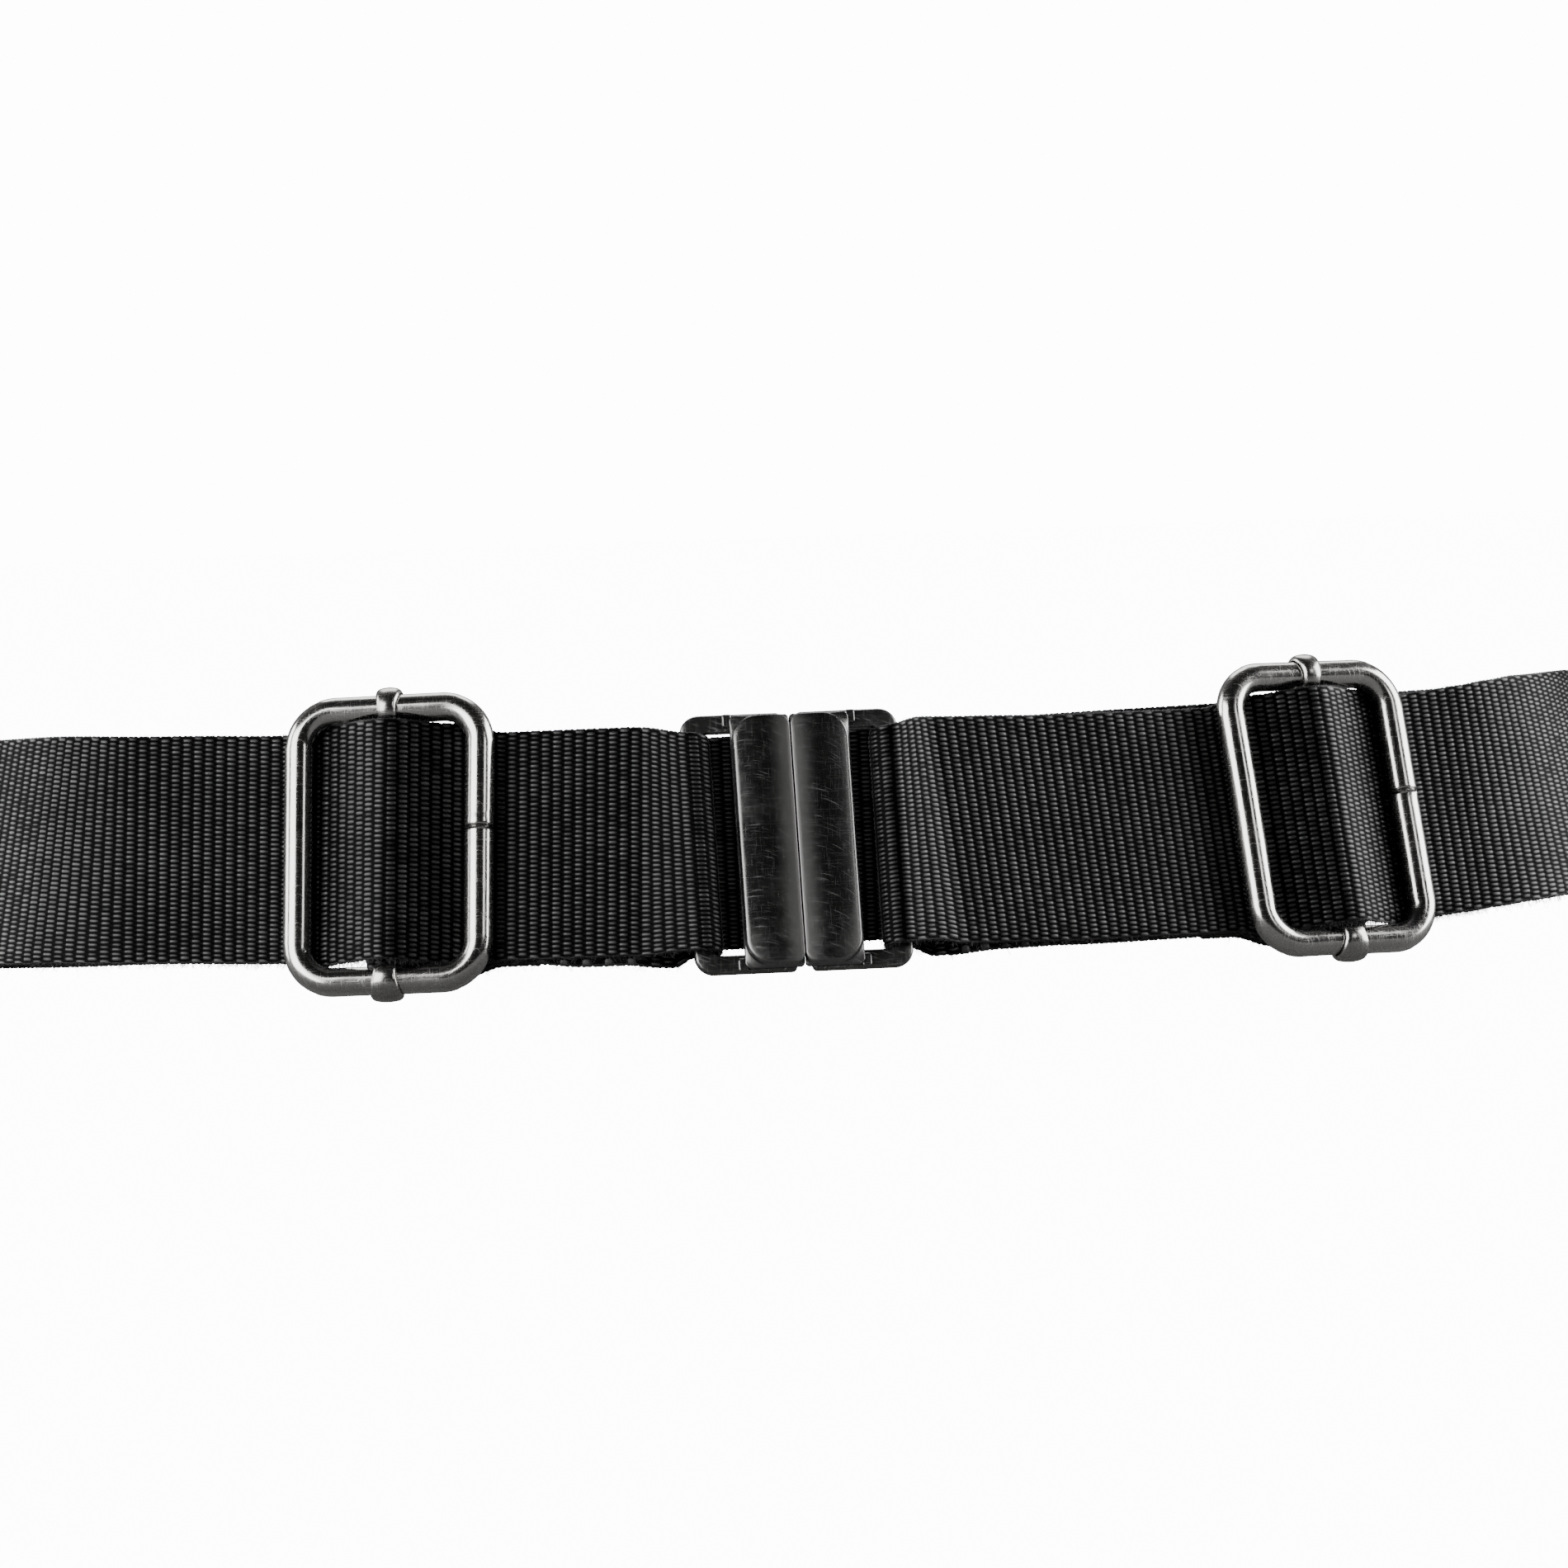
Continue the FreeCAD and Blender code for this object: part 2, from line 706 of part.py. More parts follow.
for item in doc.Objects:
    if "Invalid" in item.State or "Error" in item.State:
        raise ValueError(f"{item.Label} failed: {item.State}")
os.makedirs("parts", exist_ok=True)
for label in level_of:
    shape = doc.getObject(label).Shape
    if shape.isNull() or not shape.isValid():
        raise ValueError(f"{label} has no valid shape")
    shape.exportStep(f"parts/{label}.step")
print(f"{len(level_of)} parts, box {box.XLength:.1f} x {box.YLength:.1f} x {box.ZLength:.1f} mm")


def stance_point(point, height):
    return stance.multVec(Vector(*point, height))


def bend_middle(side):
    """The plan point and the inward direction in the middle of a bend."""
    turn = -side.outward * size(f"{side.name}_bend_turn") / 2
    start = side.point(side.run)
    _, end, heading = walk(start, side.heading, [("arc", size(f"{side.name}_bend_radius"), turn)])
    return end, heading - side.outward * 90


up = stance.Rotation.multVec(Z_AXIS)
rear_normal = Vector(0, cos(lean), sin(lean))
rear_middle = Vector((rear_from + rear_to) / 2, size("loop_depth"), middle)
rear_face = stance.multVec(rear_middle + rear_normal * (web / 2))
print("up", tuple(up))
for side in (LEFT, RIGHT):
    along = stance.Rotation.multVec(Vector(*turned(1, 0, side.heading), 0))
    pivot, inward = bend_middle(side)
    leaned = Vector(cos(radians(inward)) * sin(lean), sin(radians(inward)) * sin(lean), cos(lean))
    print(side.name, "bend pivot", tuple(stance_point(pivot, middle)))
    print(side.name, "bend axis", tuple(stance.Rotation.multVec(leaned)))
    print(side.name, "bar pivot", tuple(stance.multVec(side.half_level.Base)))
    half_up = side.half_level.Rotation.multVec(Z_AXIS)
    print(side.name, "bar axis", tuple(stance.Rotation.multVec(half_up)))
    print(side.name, "slide axis", tuple(along))
print("rear run", tuple(stance.Rotation.multVec(Vector(1, 0, 0))))
print("seam", tuple(stance_point((0, 0), middle)))
print("rear face", tuple(rear_face))
print("rear normal", tuple(stance.Rotation.multVec(rear_normal)))
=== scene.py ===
"""Looks of the dive weight belt: woven webbing, wire sliders and the hook buckle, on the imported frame."""

import json
import math

import bpy
import numpy as np
from mathutils import Matrix, Vector


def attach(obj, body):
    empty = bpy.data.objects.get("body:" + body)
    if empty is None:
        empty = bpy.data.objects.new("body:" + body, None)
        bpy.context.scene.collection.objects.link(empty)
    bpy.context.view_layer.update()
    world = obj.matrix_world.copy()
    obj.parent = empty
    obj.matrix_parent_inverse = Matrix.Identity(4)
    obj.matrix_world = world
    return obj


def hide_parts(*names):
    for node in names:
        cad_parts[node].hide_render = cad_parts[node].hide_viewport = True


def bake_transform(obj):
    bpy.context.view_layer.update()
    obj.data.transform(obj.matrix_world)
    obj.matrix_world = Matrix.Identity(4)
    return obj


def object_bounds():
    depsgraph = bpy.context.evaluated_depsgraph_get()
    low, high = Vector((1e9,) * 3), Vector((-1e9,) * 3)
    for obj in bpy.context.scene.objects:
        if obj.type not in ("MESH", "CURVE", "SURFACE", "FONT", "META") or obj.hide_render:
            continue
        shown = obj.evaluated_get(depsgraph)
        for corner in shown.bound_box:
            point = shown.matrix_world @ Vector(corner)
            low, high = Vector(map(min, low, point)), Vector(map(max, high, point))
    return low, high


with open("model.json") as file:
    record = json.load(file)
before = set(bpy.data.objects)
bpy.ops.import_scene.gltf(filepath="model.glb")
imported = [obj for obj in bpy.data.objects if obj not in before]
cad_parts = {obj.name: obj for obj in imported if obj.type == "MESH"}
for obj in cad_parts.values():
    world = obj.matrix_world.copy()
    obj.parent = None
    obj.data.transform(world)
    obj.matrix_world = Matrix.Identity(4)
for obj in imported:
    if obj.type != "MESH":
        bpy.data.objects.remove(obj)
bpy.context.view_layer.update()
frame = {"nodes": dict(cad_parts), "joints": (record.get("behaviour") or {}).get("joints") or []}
rng = np.random.default_rng(11)

# ---- sizes, in millimetres, as in the part --------------------------------------------------

WEB_WIDE, WEB_THICK, LAYER_STEP = 50.0, 1.5, 1.8
MIDDLE = WEB_WIDE / 2
LEAN = math.radians(14)
WIRE = 3.2
WIRE_DEPTH = WEB_THICK / 2 + 0.3 + WIRE
HALF_PITCH, HALF_HEIGHT, WIRE_CORNER = 20.2, 30.5, 8.25
BAR_DEPTH = -LAYER_STEP / 2
BUCKLE_YAW, BAR_FROM_SEAM = 6.0, 21.7
LOOP_DEPTH = 190.0
FOLD_TIP = 12.0
FOLD_RADIUS = math.hypot(2.3, 1.2) + 0.3 + WEB_THICK / 2
TOE_RADIUS = WIRE + 0.3 + WEB_THICK / 2
CROWN_RADIUS = 7.0
CROWN_DEPTH = WIRE_DEPTH + 3.05 + 0.3 + 0.8 + WEB_THICK / 2
TOE_AT = HALF_PITCH - (WIRE_CORNER - math.sqrt(WIRE_CORNER**2 - (MIDDLE - HALF_HEIGHT + WIRE_CORNER) ** 2))
RETURN_END = HALF_PITCH - WIRE
STRIP_WIDE, STRIP_THICK = 6.0, 2.5
PLATE_NEAR, PLATE_FAR, PLATE_HALF = 0.06, 13.1, 28.4  # the cover's edges from the seam, half its height
STITCH, THREAD = 2.9, 0.34  # a stitch's length and the thread's radius
TAIL_BACK = -3.74  # depth of the sewn tail's middle
GIVE = 8  # length of return layer that takes up the bar's float
SEWN_TAIL = 34.0
HALF_LOOP, LOOP_ARM = 25.8, 3.4

# ---- how the strap lies -----------------------------------------------------------------------

AS_LAID = 1.034  # the strap's width as seen, against its nominal width
IN_SLOT = 0.98  # squeezed in the buckle's slot
IN_WINDOW, ON_CROWN = 0.08, 0.03  # spread inside a slider's window, and less of it on the hump
COLUMN = 2.5  # weave columns run across the strap, this far apart along it
FLOATS = 47  # yarn floats in one column
PER_COLUMN = 5  # mesh stations in one column

# ---- small geometry helpers -----------------------------------------------------------------


def rot_z(angle):
    c, s = math.cos(math.radians(angle)), math.sin(math.radians(angle))
    return np.array([[c, -s, 0], [s, c, 0], [0, 0, 1.0]])


def rot_x(radians_):
    c, s = math.cos(radians_), math.sin(radians_)
    return np.array([[1.0, 0, 0], [0, c, -s], [0, s, c]])


def unit(v):
    return v / np.linalg.norm(v)


def smooth_noise(n, step, seed_rng):
    """n values that wander smoothly, about one swing in every step values."""
    knots = seed_rng.normal(size=int(n / step) + 4)
    t = np.arange(n) / step
    i = t.astype(int)
    f = t - i
    f = f * f * (3 - 2 * f)
    return knots[i] * (1 - f) + knots[i + 1] * f


class Side:
    """One end of the belt in the level frame; outward is the sign of its local Y that points out."""

    def __init__(self, name, sign, outward, yaw, run, slider, radius, turn):
        self.name, self.sign, self.outward = name, sign, outward
        self.run, self.slider = run, slider
        self.heading = yaw if sign > 0 else 180 + yaw
        self.bar = rot_z(BUCKLE_YAW) @ np.array([sign * BAR_FROM_SEAM, 0, 0]) + [0, 0, MIDDLE]
        lean = rot_x(outward * LEAN)
        self.run_axes = rot_z(self.heading) @ lean
        self.half_axes = rot_z(BUCKLE_YAW if sign > 0 else 180 + BUCKLE_YAW) @ lean
        self.moves = [(radius, -outward * turn)]
        self.turn = turn + (yaw if sign > 0 else -yaw)

    def run_point(self, x, d, z):
        """Along the run, outward from the outer layer's middle, up from the lower edge."""
        x, d, z = np.broadcast_arrays(x, d, z)
        local = np.stack([x, self.outward * (d - BAR_DEPTH), z - MIDDLE], -1)
        return self.bar + local @ self.run_axes.T

    def half_point(self, x, d, z):
        """Away from the seam, outward and up, all from the middle of the half's bar."""
        x, d, z = np.broadcast_arrays(x, d, z)
        return self.bar + np.stack([x, self.outward * d, z], -1) @ self.half_axes.T

    def close_loop(self):
        """Adds the rear arc, and says where it ends across the belt."""
        end, _ = self.plan(np.array([self.run + self.bend_length]))
        turn = math.radians(self.turn)
        self.rear_radius = (LOOP_DEPTH - end[0, 1]) / (1 + math.cos(turn))
        self.moves.append((self.rear_radius, -self.outward * (180 - self.turn)))
        return end[0, 0] - self.sign * self.rear_radius * math.sin(turn)

    @property
    def bend_length(self):
        return self.moves[0][0] * math.radians(abs(self.moves[0][1]))

    def plan(self, x):
        """Plan points and headings at mid-height for distances along the run and beyond it."""
        start = self.run_point(self.run, 0.0, MIDDLE)
        point = np.array(start[:2])
        heading = math.radians(self.heading)
        left = np.array(x, float) - self.run
        out = np.zeros((len(left), 2))
        head = np.full(len(left), heading)
        for k, (radius, turn) in enumerate(self.moves + [(None, 0)]):
            length = 1e9 if radius is None else radius * math.radians(abs(turn))
            here = (left >= 0) & (left <= length) if k == 0 else (left > 0) & (left <= length)
            if radius is None:
                out[here] = point + left[here, None] * [math.cos(heading), math.sin(heading)]
                head[here] = heading
                break
            side = 1 if turn > 0 else -1
            centre = point + side * radius * np.array([-math.sin(heading), math.cos(heading)])
            angle = heading + side * left / radius
            ring = centre - side * radius * np.stack([-np.sin(angle), np.cos(angle)], -1)
            out[here], head[here] = ring[here], angle[here]
            heading += math.radians(turn)
            point = centre - side * radius * np.array([-math.sin(heading), math.cos(heading)])
            left = left - length
        return out, head

    def inner_point(self, x, d, z):
        """A point of the layer behind, whatever its depth."""
        return self.belt_point(x, d, z, 1.0)

    def belt_point(self, x, d, z, inner=None):
        """The strap as it lies: squeezed in the buckle's slot, spread in a slider's window, rising
        towards its bends, its inner layer lower; past the run it goes on round the cone."""
        x, d, z = np.broadcast_arrays(x, d, z)
        wide = eased(x, [(-9, 0.975), (2, IN_SLOT), (12, AS_LAID)])
        if inner is None:
            inner = np.clip((-0.9 - d) / 0.5, 0, 1)
        window = eased(np.abs(x - self.slider), [(HALF_PITCH - 4, 1), (HALF_PITCH + 4, 0)])
        wide = wide * (1 + window * (IN_WINDOW - ON_CROWN * np.clip(d / 4, 0, 1)))
        z = MIDDLE + (z - MIDDLE) * wide - eased(x, self.drop) * inner
        result = self.run_point(x, d, z)
        beyond = x > self.run
        if beyond.any():
            p, h = self.plan(x[beyond])
            out = h + self.outward * math.pi / 2
            up = z[beyond] - MIDDLE
            depth = d[beyond]
            reach = depth * math.cos(LEAN) - up * math.sin(LEAN)
            level = self.run_point(self.run, 0.0, MIDDLE)[2]
            result[beyond, 0] = p[:, 0] + reach * np.cos(out)
            result[beyond, 1] = p[:, 1] + reach * np.sin(out)
            result[beyond, 2] = level + up * math.cos(LEAN) + depth * math.sin(LEAN)
        result[..., 2] += eased(x, self.rise)
        return result


def eased(x, knots):
    """Smooth steps between (place, value) knots."""
    places, values = np.array(knots, float).T
    x = np.clip(x, places[0], places[-1])
    i = np.clip(np.searchsorted(places, x, side="right") - 1, 0, len(places) - 2)
    t = (x - places[i]) / (places[i + 1] - places[i])
    t = 0.45 * t + 0.55 * t * t * (3 - 2 * t)
    return values[i] + (values[i + 1] - values[i]) * t


# name, side, outward, yaw, run, slider, bend radius and turn; then how far the strap rises along it
LEFT = Side("left", -1, 1, -10, 126, 67.7, 45.0, 30)
LEFT.rise = [
    (0, 0.2), (15, 1.3), (40, 1.6), (68, 2.2), (90, 2.9), (117, 4.0), (150, 5.0), (200, 5.2),
    (330, 2.6), (460, 0),
]
RIGHT = Side("right", 1, -1, 27, 145, 105.9, 60.0, 20)
RIGHT.rise = [
    (0, 0.2), (8, 1.2), (22, 0.8), (40, 0.3), (69, 0.5), (106, 0.9), (119, 1.1), (129, 1.8), (138, 2.6),
    (147, 3.5), (156, 4.4), (166, 5.2), (195, 6.2), (320, 3.2), (460, 0),
]
# how much lower the inner layer lies, and how much higher each slider stands
LEFT.drop = [(1, 0), (5, 2.2), (15, 1.4), (26, 1.5), (38, 0.5), (46, 0.5), (58, 1.5)]
RIGHT.drop = [(1, 0), (6, 2.7), (22, 1.1), (38, 0.3), (84, 0.3), (96, 1.2)]
LEFT.lift, RIGHT.lift = 2.1, 1.2
SIDES = (LEFT, RIGHT)
left_rear_x, right_rear_x = LEFT.close_loop(), RIGHT.close_loop()
for side in SIDES:
    arcs = sum(radius * math.radians(abs(turn)) for radius, turn in side.moves)
    side.length = side.run + arcs + (right_rear_x - left_rear_x) / 2

# The stance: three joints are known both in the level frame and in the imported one.
joint = {j["name"]: j for j in frame["joints"]}


def triad(a, b, c):
    x = unit(b - a)
    n = unit(np.cross(x, c - a))
    return np.column_stack([x, np.cross(n, x), n])


swing_plan, _ = LEFT.plan(np.array([LEFT.run + LEFT.bend_length / 2]))
level_points = [LEFT.bar, RIGHT.bar, np.array([*swing_plan[0], MIDDLE])]
row_points = [
    1000 * np.array(joint[name]["pos_m"]) for name in ("left_half_fold", "right_half_fold", "left_end_swing")
]
STANCE = triad(*row_points) @ triad(*level_points).T


def to_row(points):
    """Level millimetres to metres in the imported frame."""
    return ((points - level_points[0]) @ STANCE.T + row_points[0]) / 1000


# ---- camera: the photograph's view ----------------------------------------------------------

seam = (row_points[0] + row_points[1]) / 2000
camera_data = bpy.data.cameras.new("camera")
camera = bpy.data.objects.new("camera", camera_data)
bpy.context.scene.collection.objects.link(camera)
bpy.context.scene.camera = camera
VIEW_DISTANCE, VIEW_WIDE = 2.5, 0.3421
ELEVATION, ROLL = math.radians(2.2), math.radians(2.0)
camera_data.sensor_width = 36
camera_data.lens = 36 * VIEW_DISTANCE / VIEW_WIDE
target = Vector(seam) + Vector((-0.0022, 0, 0.0127))
back = Vector((0, -math.cos(ELEVATION), math.sin(ELEVATION)))
camera.location = target + back * VIEW_DISTANCE
facing = (-back).to_track_quat("-Z", "Y").to_matrix().to_4x4()
camera.rotation_mode = "QUATERNION"
camera.rotation_quaternion = (facing @ Matrix.Rotation(-ROLL, 4, "Z")).to_quaternion()
camera_data.clip_start, camera_data.clip_end = 0.05, 50

# ---- mesh building --------------------------------------------------------------------------


class Soup:
    """Collects grids of rings and builds one mesh object from them."""

    def __init__(self):
        self.co, self.quads, self.caps, self.weave, self.count = [], [], [], [], 0
        self.normals = []

    def grid(self, rings, weave=None, closed=False, caps=True, neighbours=None):
        """Rings of points joined in order. With neighbours, the rings just before and after are
        only used for the shading, so that pieces cut from one strap meet without a line."""
        rings = np.asarray(rings, float)
        n, m, _ = rings.shape
        idx = self.count + np.arange(n * m).reshape(n, m)
        after = np.roll(idx, -1, axis=1)
        if closed:
            quads = np.stack([idx, after, np.roll(after, -1, 0), np.roll(idx, -1, 0)], -1)
        else:
            quads = np.stack([idx[:-1], after[:-1], after[1:], idx[1:]], -1)
        quads = quads.reshape(-1, 4)
        flat = rings.reshape(-1, 3)
        p = (flat - flat.mean(0))[quads - self.count]
        volume = np.einsum("ij,ij->", p[:, 0], np.cross(p[:, 1], p[:, 2]) + np.cross(p[:, 2], p[:, 3]))
        ends = [] if closed or not caps else [list(idx[0][::-1]), list(idx[-1])]
        if neighbours is None:
            normals = np.zeros((n * m, 3))
        else:
            long = np.concatenate([neighbours[:1], rings, neighbours[1:]])
            forward = long[2:] - long[:-2]
            around = np.roll(rings, -1, axis=1) - np.roll(rings, 1, axis=1)
            normals = np.cross(around, forward).reshape(-1, 3)
            normals /= np.linalg.norm(normals, axis=1)[:, None] + 1e-12
        if volume < 0:
            quads = quads[:, ::-1]
            ends = [e[::-1] for e in ends]
            normals = -normals
        self.normals.append(normals)
        self.co.append(flat)
        self.quads.append(quads)
        self.caps += ends
        self.weave.append(np.zeros((n * m, 3)) if weave is None else np.asarray(weave).reshape(-1, 3))
        self.count += n * m

    def build(self, name, material):
        co = to_row(np.concatenate(self.co))
        quads = np.concatenate(self.quads)
        loops = np.concatenate([quads.ravel()] + [np.array(c) for c in self.caps]).astype(np.int32)
        sizes = np.array([4] * len(quads) + [len(c) for c in self.caps])
        starts = np.concatenate([[0], np.cumsum(sizes)[:-1]]).astype(np.int32)
        mesh = bpy.data.meshes.new(name)
        mesh.vertices.add(len(co))
        mesh.vertices.foreach_set("co", co.astype(np.float32).ravel())
        mesh.loops.add(len(loops))
        mesh.loops.foreach_set("vertex_index", loops)
        mesh.polygons.add(len(sizes))
        mesh.polygons.foreach_set("loop_start", starts)
        mesh.polygons.foreach_set("use_smooth", np.arange(len(sizes)) < len(quads))
        mesh.update(calc_edges=True)
        mesh.validate()
        layer = mesh.attributes.new("weave", "FLOAT_VECTOR", "POINT")
        layer.data.foreach_set("vector", np.concatenate(self.weave).astype(np.float32).ravel())
        mesh.materials.append(material)
        normals = np.concatenate(self.normals) @ STANCE.T
        if np.abs(normals).sum() > 0:
            corner = normals[loops]
            corner[4 * len(quads):] = 0
            mesh.normals_split_custom_set(corner.astype(np.float32))
        obj = bpy.data.objects.new(name, mesh)
        bpy.context.scene.collection.objects.link(obj)
        return obj


def tube(soup, points, radius, sides=6, weave=None):
    """A round thread along points; radius is one number or one for each point."""
    points = np.asarray(points, float)
    tangent = np.gradient(points, axis=0)
    tangent /= np.linalg.norm(tangent, axis=1)[:, None] + 1e-12
    ref = np.array([0.31, 0.52, 0.79])
    a = np.cross(tangent, ref)
    a /= np.linalg.norm(a, axis=1)[:, None]
    b = np.cross(tangent, a)
    angle = np.arange(sides) * 2 * math.pi / sides
    r = np.broadcast_to(radius, (len(points),))[:, None, None]
    ring = np.cos(angle)[None, :, None] * a[:, None] + np.sin(angle)[None, :, None] * b[:, None]
    kept = None if weave is None else np.broadcast_to(weave, (len(points), sides, 3))
    soup.grid(points[:, None] + r * ring, kept)


def rounded_rectangle(x0, x1, z0, z1, radii, side_points=24, corner_points=8):
    """Points round a rectangle, with the same layout whatever its size. Radii from lower right."""
    corners = [(x1, z0, -1, 1), (x1, z1, -1, -1), (x0, z1, 1, -1), (x0, z0, 1, 1)]
    arcs = []
    for (x, z, sx, sz), r, first in zip(corners, radii, (270, 0, 90, 180)):
        angle = np.radians(first + np.linspace(0, 90, corner_points))
        arcs.append(np.stack([x + sx * r + r * np.cos(angle), z + sz * r + r * np.sin(angle)], -1))
    ring = []
    for here, there in zip(arcs, arcs[1:] + arcs[:1]):
        ring.append(here)
        t = np.linspace(0, 1, side_points + 2)[1:-1, None]
        ring.append(here[-1] * (1 - t) + there[0] * t)
    return np.concatenate(ring)


# ---- materials ------------------------------------------------------------------------------


class Nodes:
    """Short hand for one material's node tree."""

    def __init__(self, name):
        self.material = bpy.data.materials.new(name)
        self.material.use_nodes = True
        self.tree = self.material.node_tree
        self.bsdf = self.tree.nodes["Principled BSDF"]

    def add(self, kind, inputs=None, **settings):
        node = self.tree.nodes.new("ShaderNode" + kind)
        for key, value in settings.items():
            setattr(node, key, value)
        for key, value in (inputs or {}).items():
            self.put(node.inputs[key], value)
        return node

    def put(self, socket, value):
        if isinstance(value, bpy.types.NodeSocket):
            self.tree.links.new(value, socket)
        else:
            socket.default_value = value

    def maths(self, operation, a, b=0.0, c=0.0):
        return self.add("Math", {0: a, 1: b, 2: c}, operation=operation).outputs[0]

    def blended(self, share, first, second):
        return self.add("Mix", {0: share, 6: first, 7: second}, data_type="RGBA").outputs[2]

    def ramp(self, factor, stops):
        node = self.add("ValToRGB", {0: factor})
        elements = node.color_ramp.elements
        for (position, colour), element in zip(stops, elements):
            element.position, element.color = position, colour
        for position, colour in stops[2:]:
            element = elements.new(position)
            element.color = colour
        return node.outputs[0]

    def noise(self, vector, scale, detail=3.0, roughness=0.55):
        inputs = {"Vector": vector, "Scale": scale, "Detail": detail, "Roughness": roughness}
        return self.add("TexNoise", inputs).outputs["Fac"]

    def scaled(self, vector, scale):
        return self.add("Mapping", {"Vector": vector, "Scale": scale}).outputs[0]

    def bump(self, height, strength, distance, normal=None):
        inputs = {"Height": height, "Strength": strength, "Distance": distance}
        if normal is not None:
            inputs["Normal"] = normal
        return self.add("Bump", inputs).outputs[0]


def grey(v, tint=(1, 1, 1)):
    return (v * tint[0], v * tint[1], v * tint[2], 1)


def webbing_material(name, shade, roughness):
    """Black nylon: yarn streaks and dust, with painted shade darkening the gaps between the floats and a
    painted highlight lightening their crowns.
    """
    m = Nodes(name)
    weave = m.add("Attribute", attribute_name="weave").outputs["Vector"]
    split = m.add("SeparateXYZ", {0: weave})
    height = split.outputs[2]
    streaks = m.noise(m.scaled(weave, (0.9, 13.0, 0.0)), 1.0, 4.0, 0.7)
    blotches = m.noise(m.scaled(weave, (0.05, 0.07, 0.0)), 1.0, 4.0, 0.6)
    # painted shade and highlight: the float height makes the colour near black in the gaps and light on the
    # crowns; the blotches add real random tone
    crown = m.maths("MULTIPLY", height, m.maths("MULTIPLY_ADD", streaks, 0.5, 0.72))
    painted_relief_and_blotches = m.maths("ADD", crown, m.maths("MULTIPLY_ADD", blotches, 0.3, -0.15))
    stops = [(0.25, grey(shade * 0.06)), (0.98, grey(shade * 1.6, (1, 1, 1.05))), (0.62, grey(shade * 0.35))]
    colour = m.ramp(painted_relief_and_blotches, stops)
    dust = m.noise(m.scaled(weave, (2.2, 2.6, 0.0)), 1.0, 2.0, 0.8)
    specks = m.maths("GREATER_THAN", dust, 0.735)
    lint = m.maths("MULTIPLY", specks, m.maths("GREATER_THAN", blotches, 0.5))
    m.put(m.bsdf.inputs["Base Color"], m.blended(m.maths("MULTIPLY", lint, 0.35), colour, grey(0.05)))
    rough = m.maths("MULTIPLY_ADD", streaks, 0.25, roughness - 0.12)
    m.put(m.bsdf.inputs["Roughness"], rough)
    # the reflection strength follows the same painted relief: weak in the gaps, strong on the crowns
    gloss = m.add("MapRange", {0: painted_relief_and_blotches, 1: 0.35, 2: 0.95, 3: 0.03, 4: 0.85}).outputs[0]
    m.put(m.bsdf.inputs["Specular IOR Level"], gloss)
    m.put(m.bsdf.inputs["Sheen Weight"], 0.03)
    m.put(m.bsdf.inputs["Sheen Roughness"], 0.4)
    m.put(m.bsdf.inputs["Normal"], m.bump(streaks, 0.5, 0.00010))
    return m.material


def metal_material(name, base, roughness, tint, scratch, wear):
    """Plated steel: roughness that varies in clouds, long and short scratches, pits, brighter worn patches,
    and a band marked by the mesh that is a painted highlight on a rougher satin finish.
    """
    m = Nodes(name)
    place = m.add("TexCoord").outputs["Object"]
    cloud = m.noise(place, 90.0, 5.0, 0.65)
    fine = m.noise(m.scaled(place, (900, 900, 900)), 1.0, 6.0, 0.75)
    grain = m.noise(m.scaled(place, (3200, 3200, 3200)), 1.0, 2.0, 0.6)
    marked = m.add("SeparateXYZ", {0: m.add("Attribute", attribute_name="weave").outputs["Vector"]})
    rubbed, satin_and_painted_highlight = marked.outputs[0], marked.outputs[2]
    lines = []
    for turn, scale in (
        ((0.3, 1.1, 0.5), (15000, 190, 260)),
        ((1.2, 0.4, 2.1), (240, 14000, 180)),
        ((0.2, 2.2, 1.2), (170, 210, 16000)),
    ):
        turned = m.add("Mapping", {"Vector": place, "Rotation": turn, "Scale": scale}).outputs[0]
        lines.append(m.ramp(m.noise(turned, 1.0, 1.0, 0.4), [(0.64, grey(0)), (0.76, grey(1))]))
    scratches = m.maths("MAXIMUM", m.maths("MAXIMUM", lines[0], lines[1]), lines[2])
    pits = m.ramp(m.noise(place, 1500.0, 3.0, 0.7), [(0.66, grey(0)), (0.72, grey(1))])
    patch = m.maths("MULTIPLY_ADD", fine, 0.45, m.maths("MULTIPLY", cloud, 0.6))
    patch = m.maths("MULTIPLY_ADD", rubbed, 0.16, patch)
    worn = m.ramp(patch, [(0.55, grey(0)), (0.75, grey(1))])
    dark, bright = grey(base * 0.8, tint), grey(min(1, base * 1.35), tint)
    colour = m.blended(m.maths("MULTIPLY", worn, wear), dark, bright)
    marks = m.blended(m.maths("MULTIPLY", scratches, scratch), colour, grey(0.85))
    pitted = m.blended(m.maths("MULTIPLY", pits, 0.6 * wear), marks, grey(0.9))
    # a lighter colour where the mesh marks the band: painted highlight, on top of the rougher satin finish
    painted_highlight_colour = grey(min(1, base * 1.15), tint)
    final = m.blended(m.maths("MULTIPLY", satin_and_painted_highlight, 0.8), pitted, painted_highlight_colour)
    m.put(m.bsdf.inputs["Base Color"], final)
    m.put(m.bsdf.inputs["Metallic"], 1.0)
    rough = m.maths("MULTIPLY_ADD", cloud, 0.18, roughness - 0.09)
    rough = m.maths("MULTIPLY_ADD", worn, 0.12 * wear, rough)
    rough = m.maths("MULTIPLY_ADD", scratches, 0.22, rough)
    rough = m.maths("MULTIPLY_ADD", satin_and_painted_highlight, 0.17, rough)
    m.put(m.bsdf.inputs["Roughness"], rough)
    soft = m.bump(cloud, 0.06, 0.0004)
    grainy = m.bump(grain, 0.10, 0.00002, soft)
    m.put(m.bsdf.inputs["Normal"], m.bump(scratches, 0.12 * scratch, 0.00003, grainy))
    return m.material


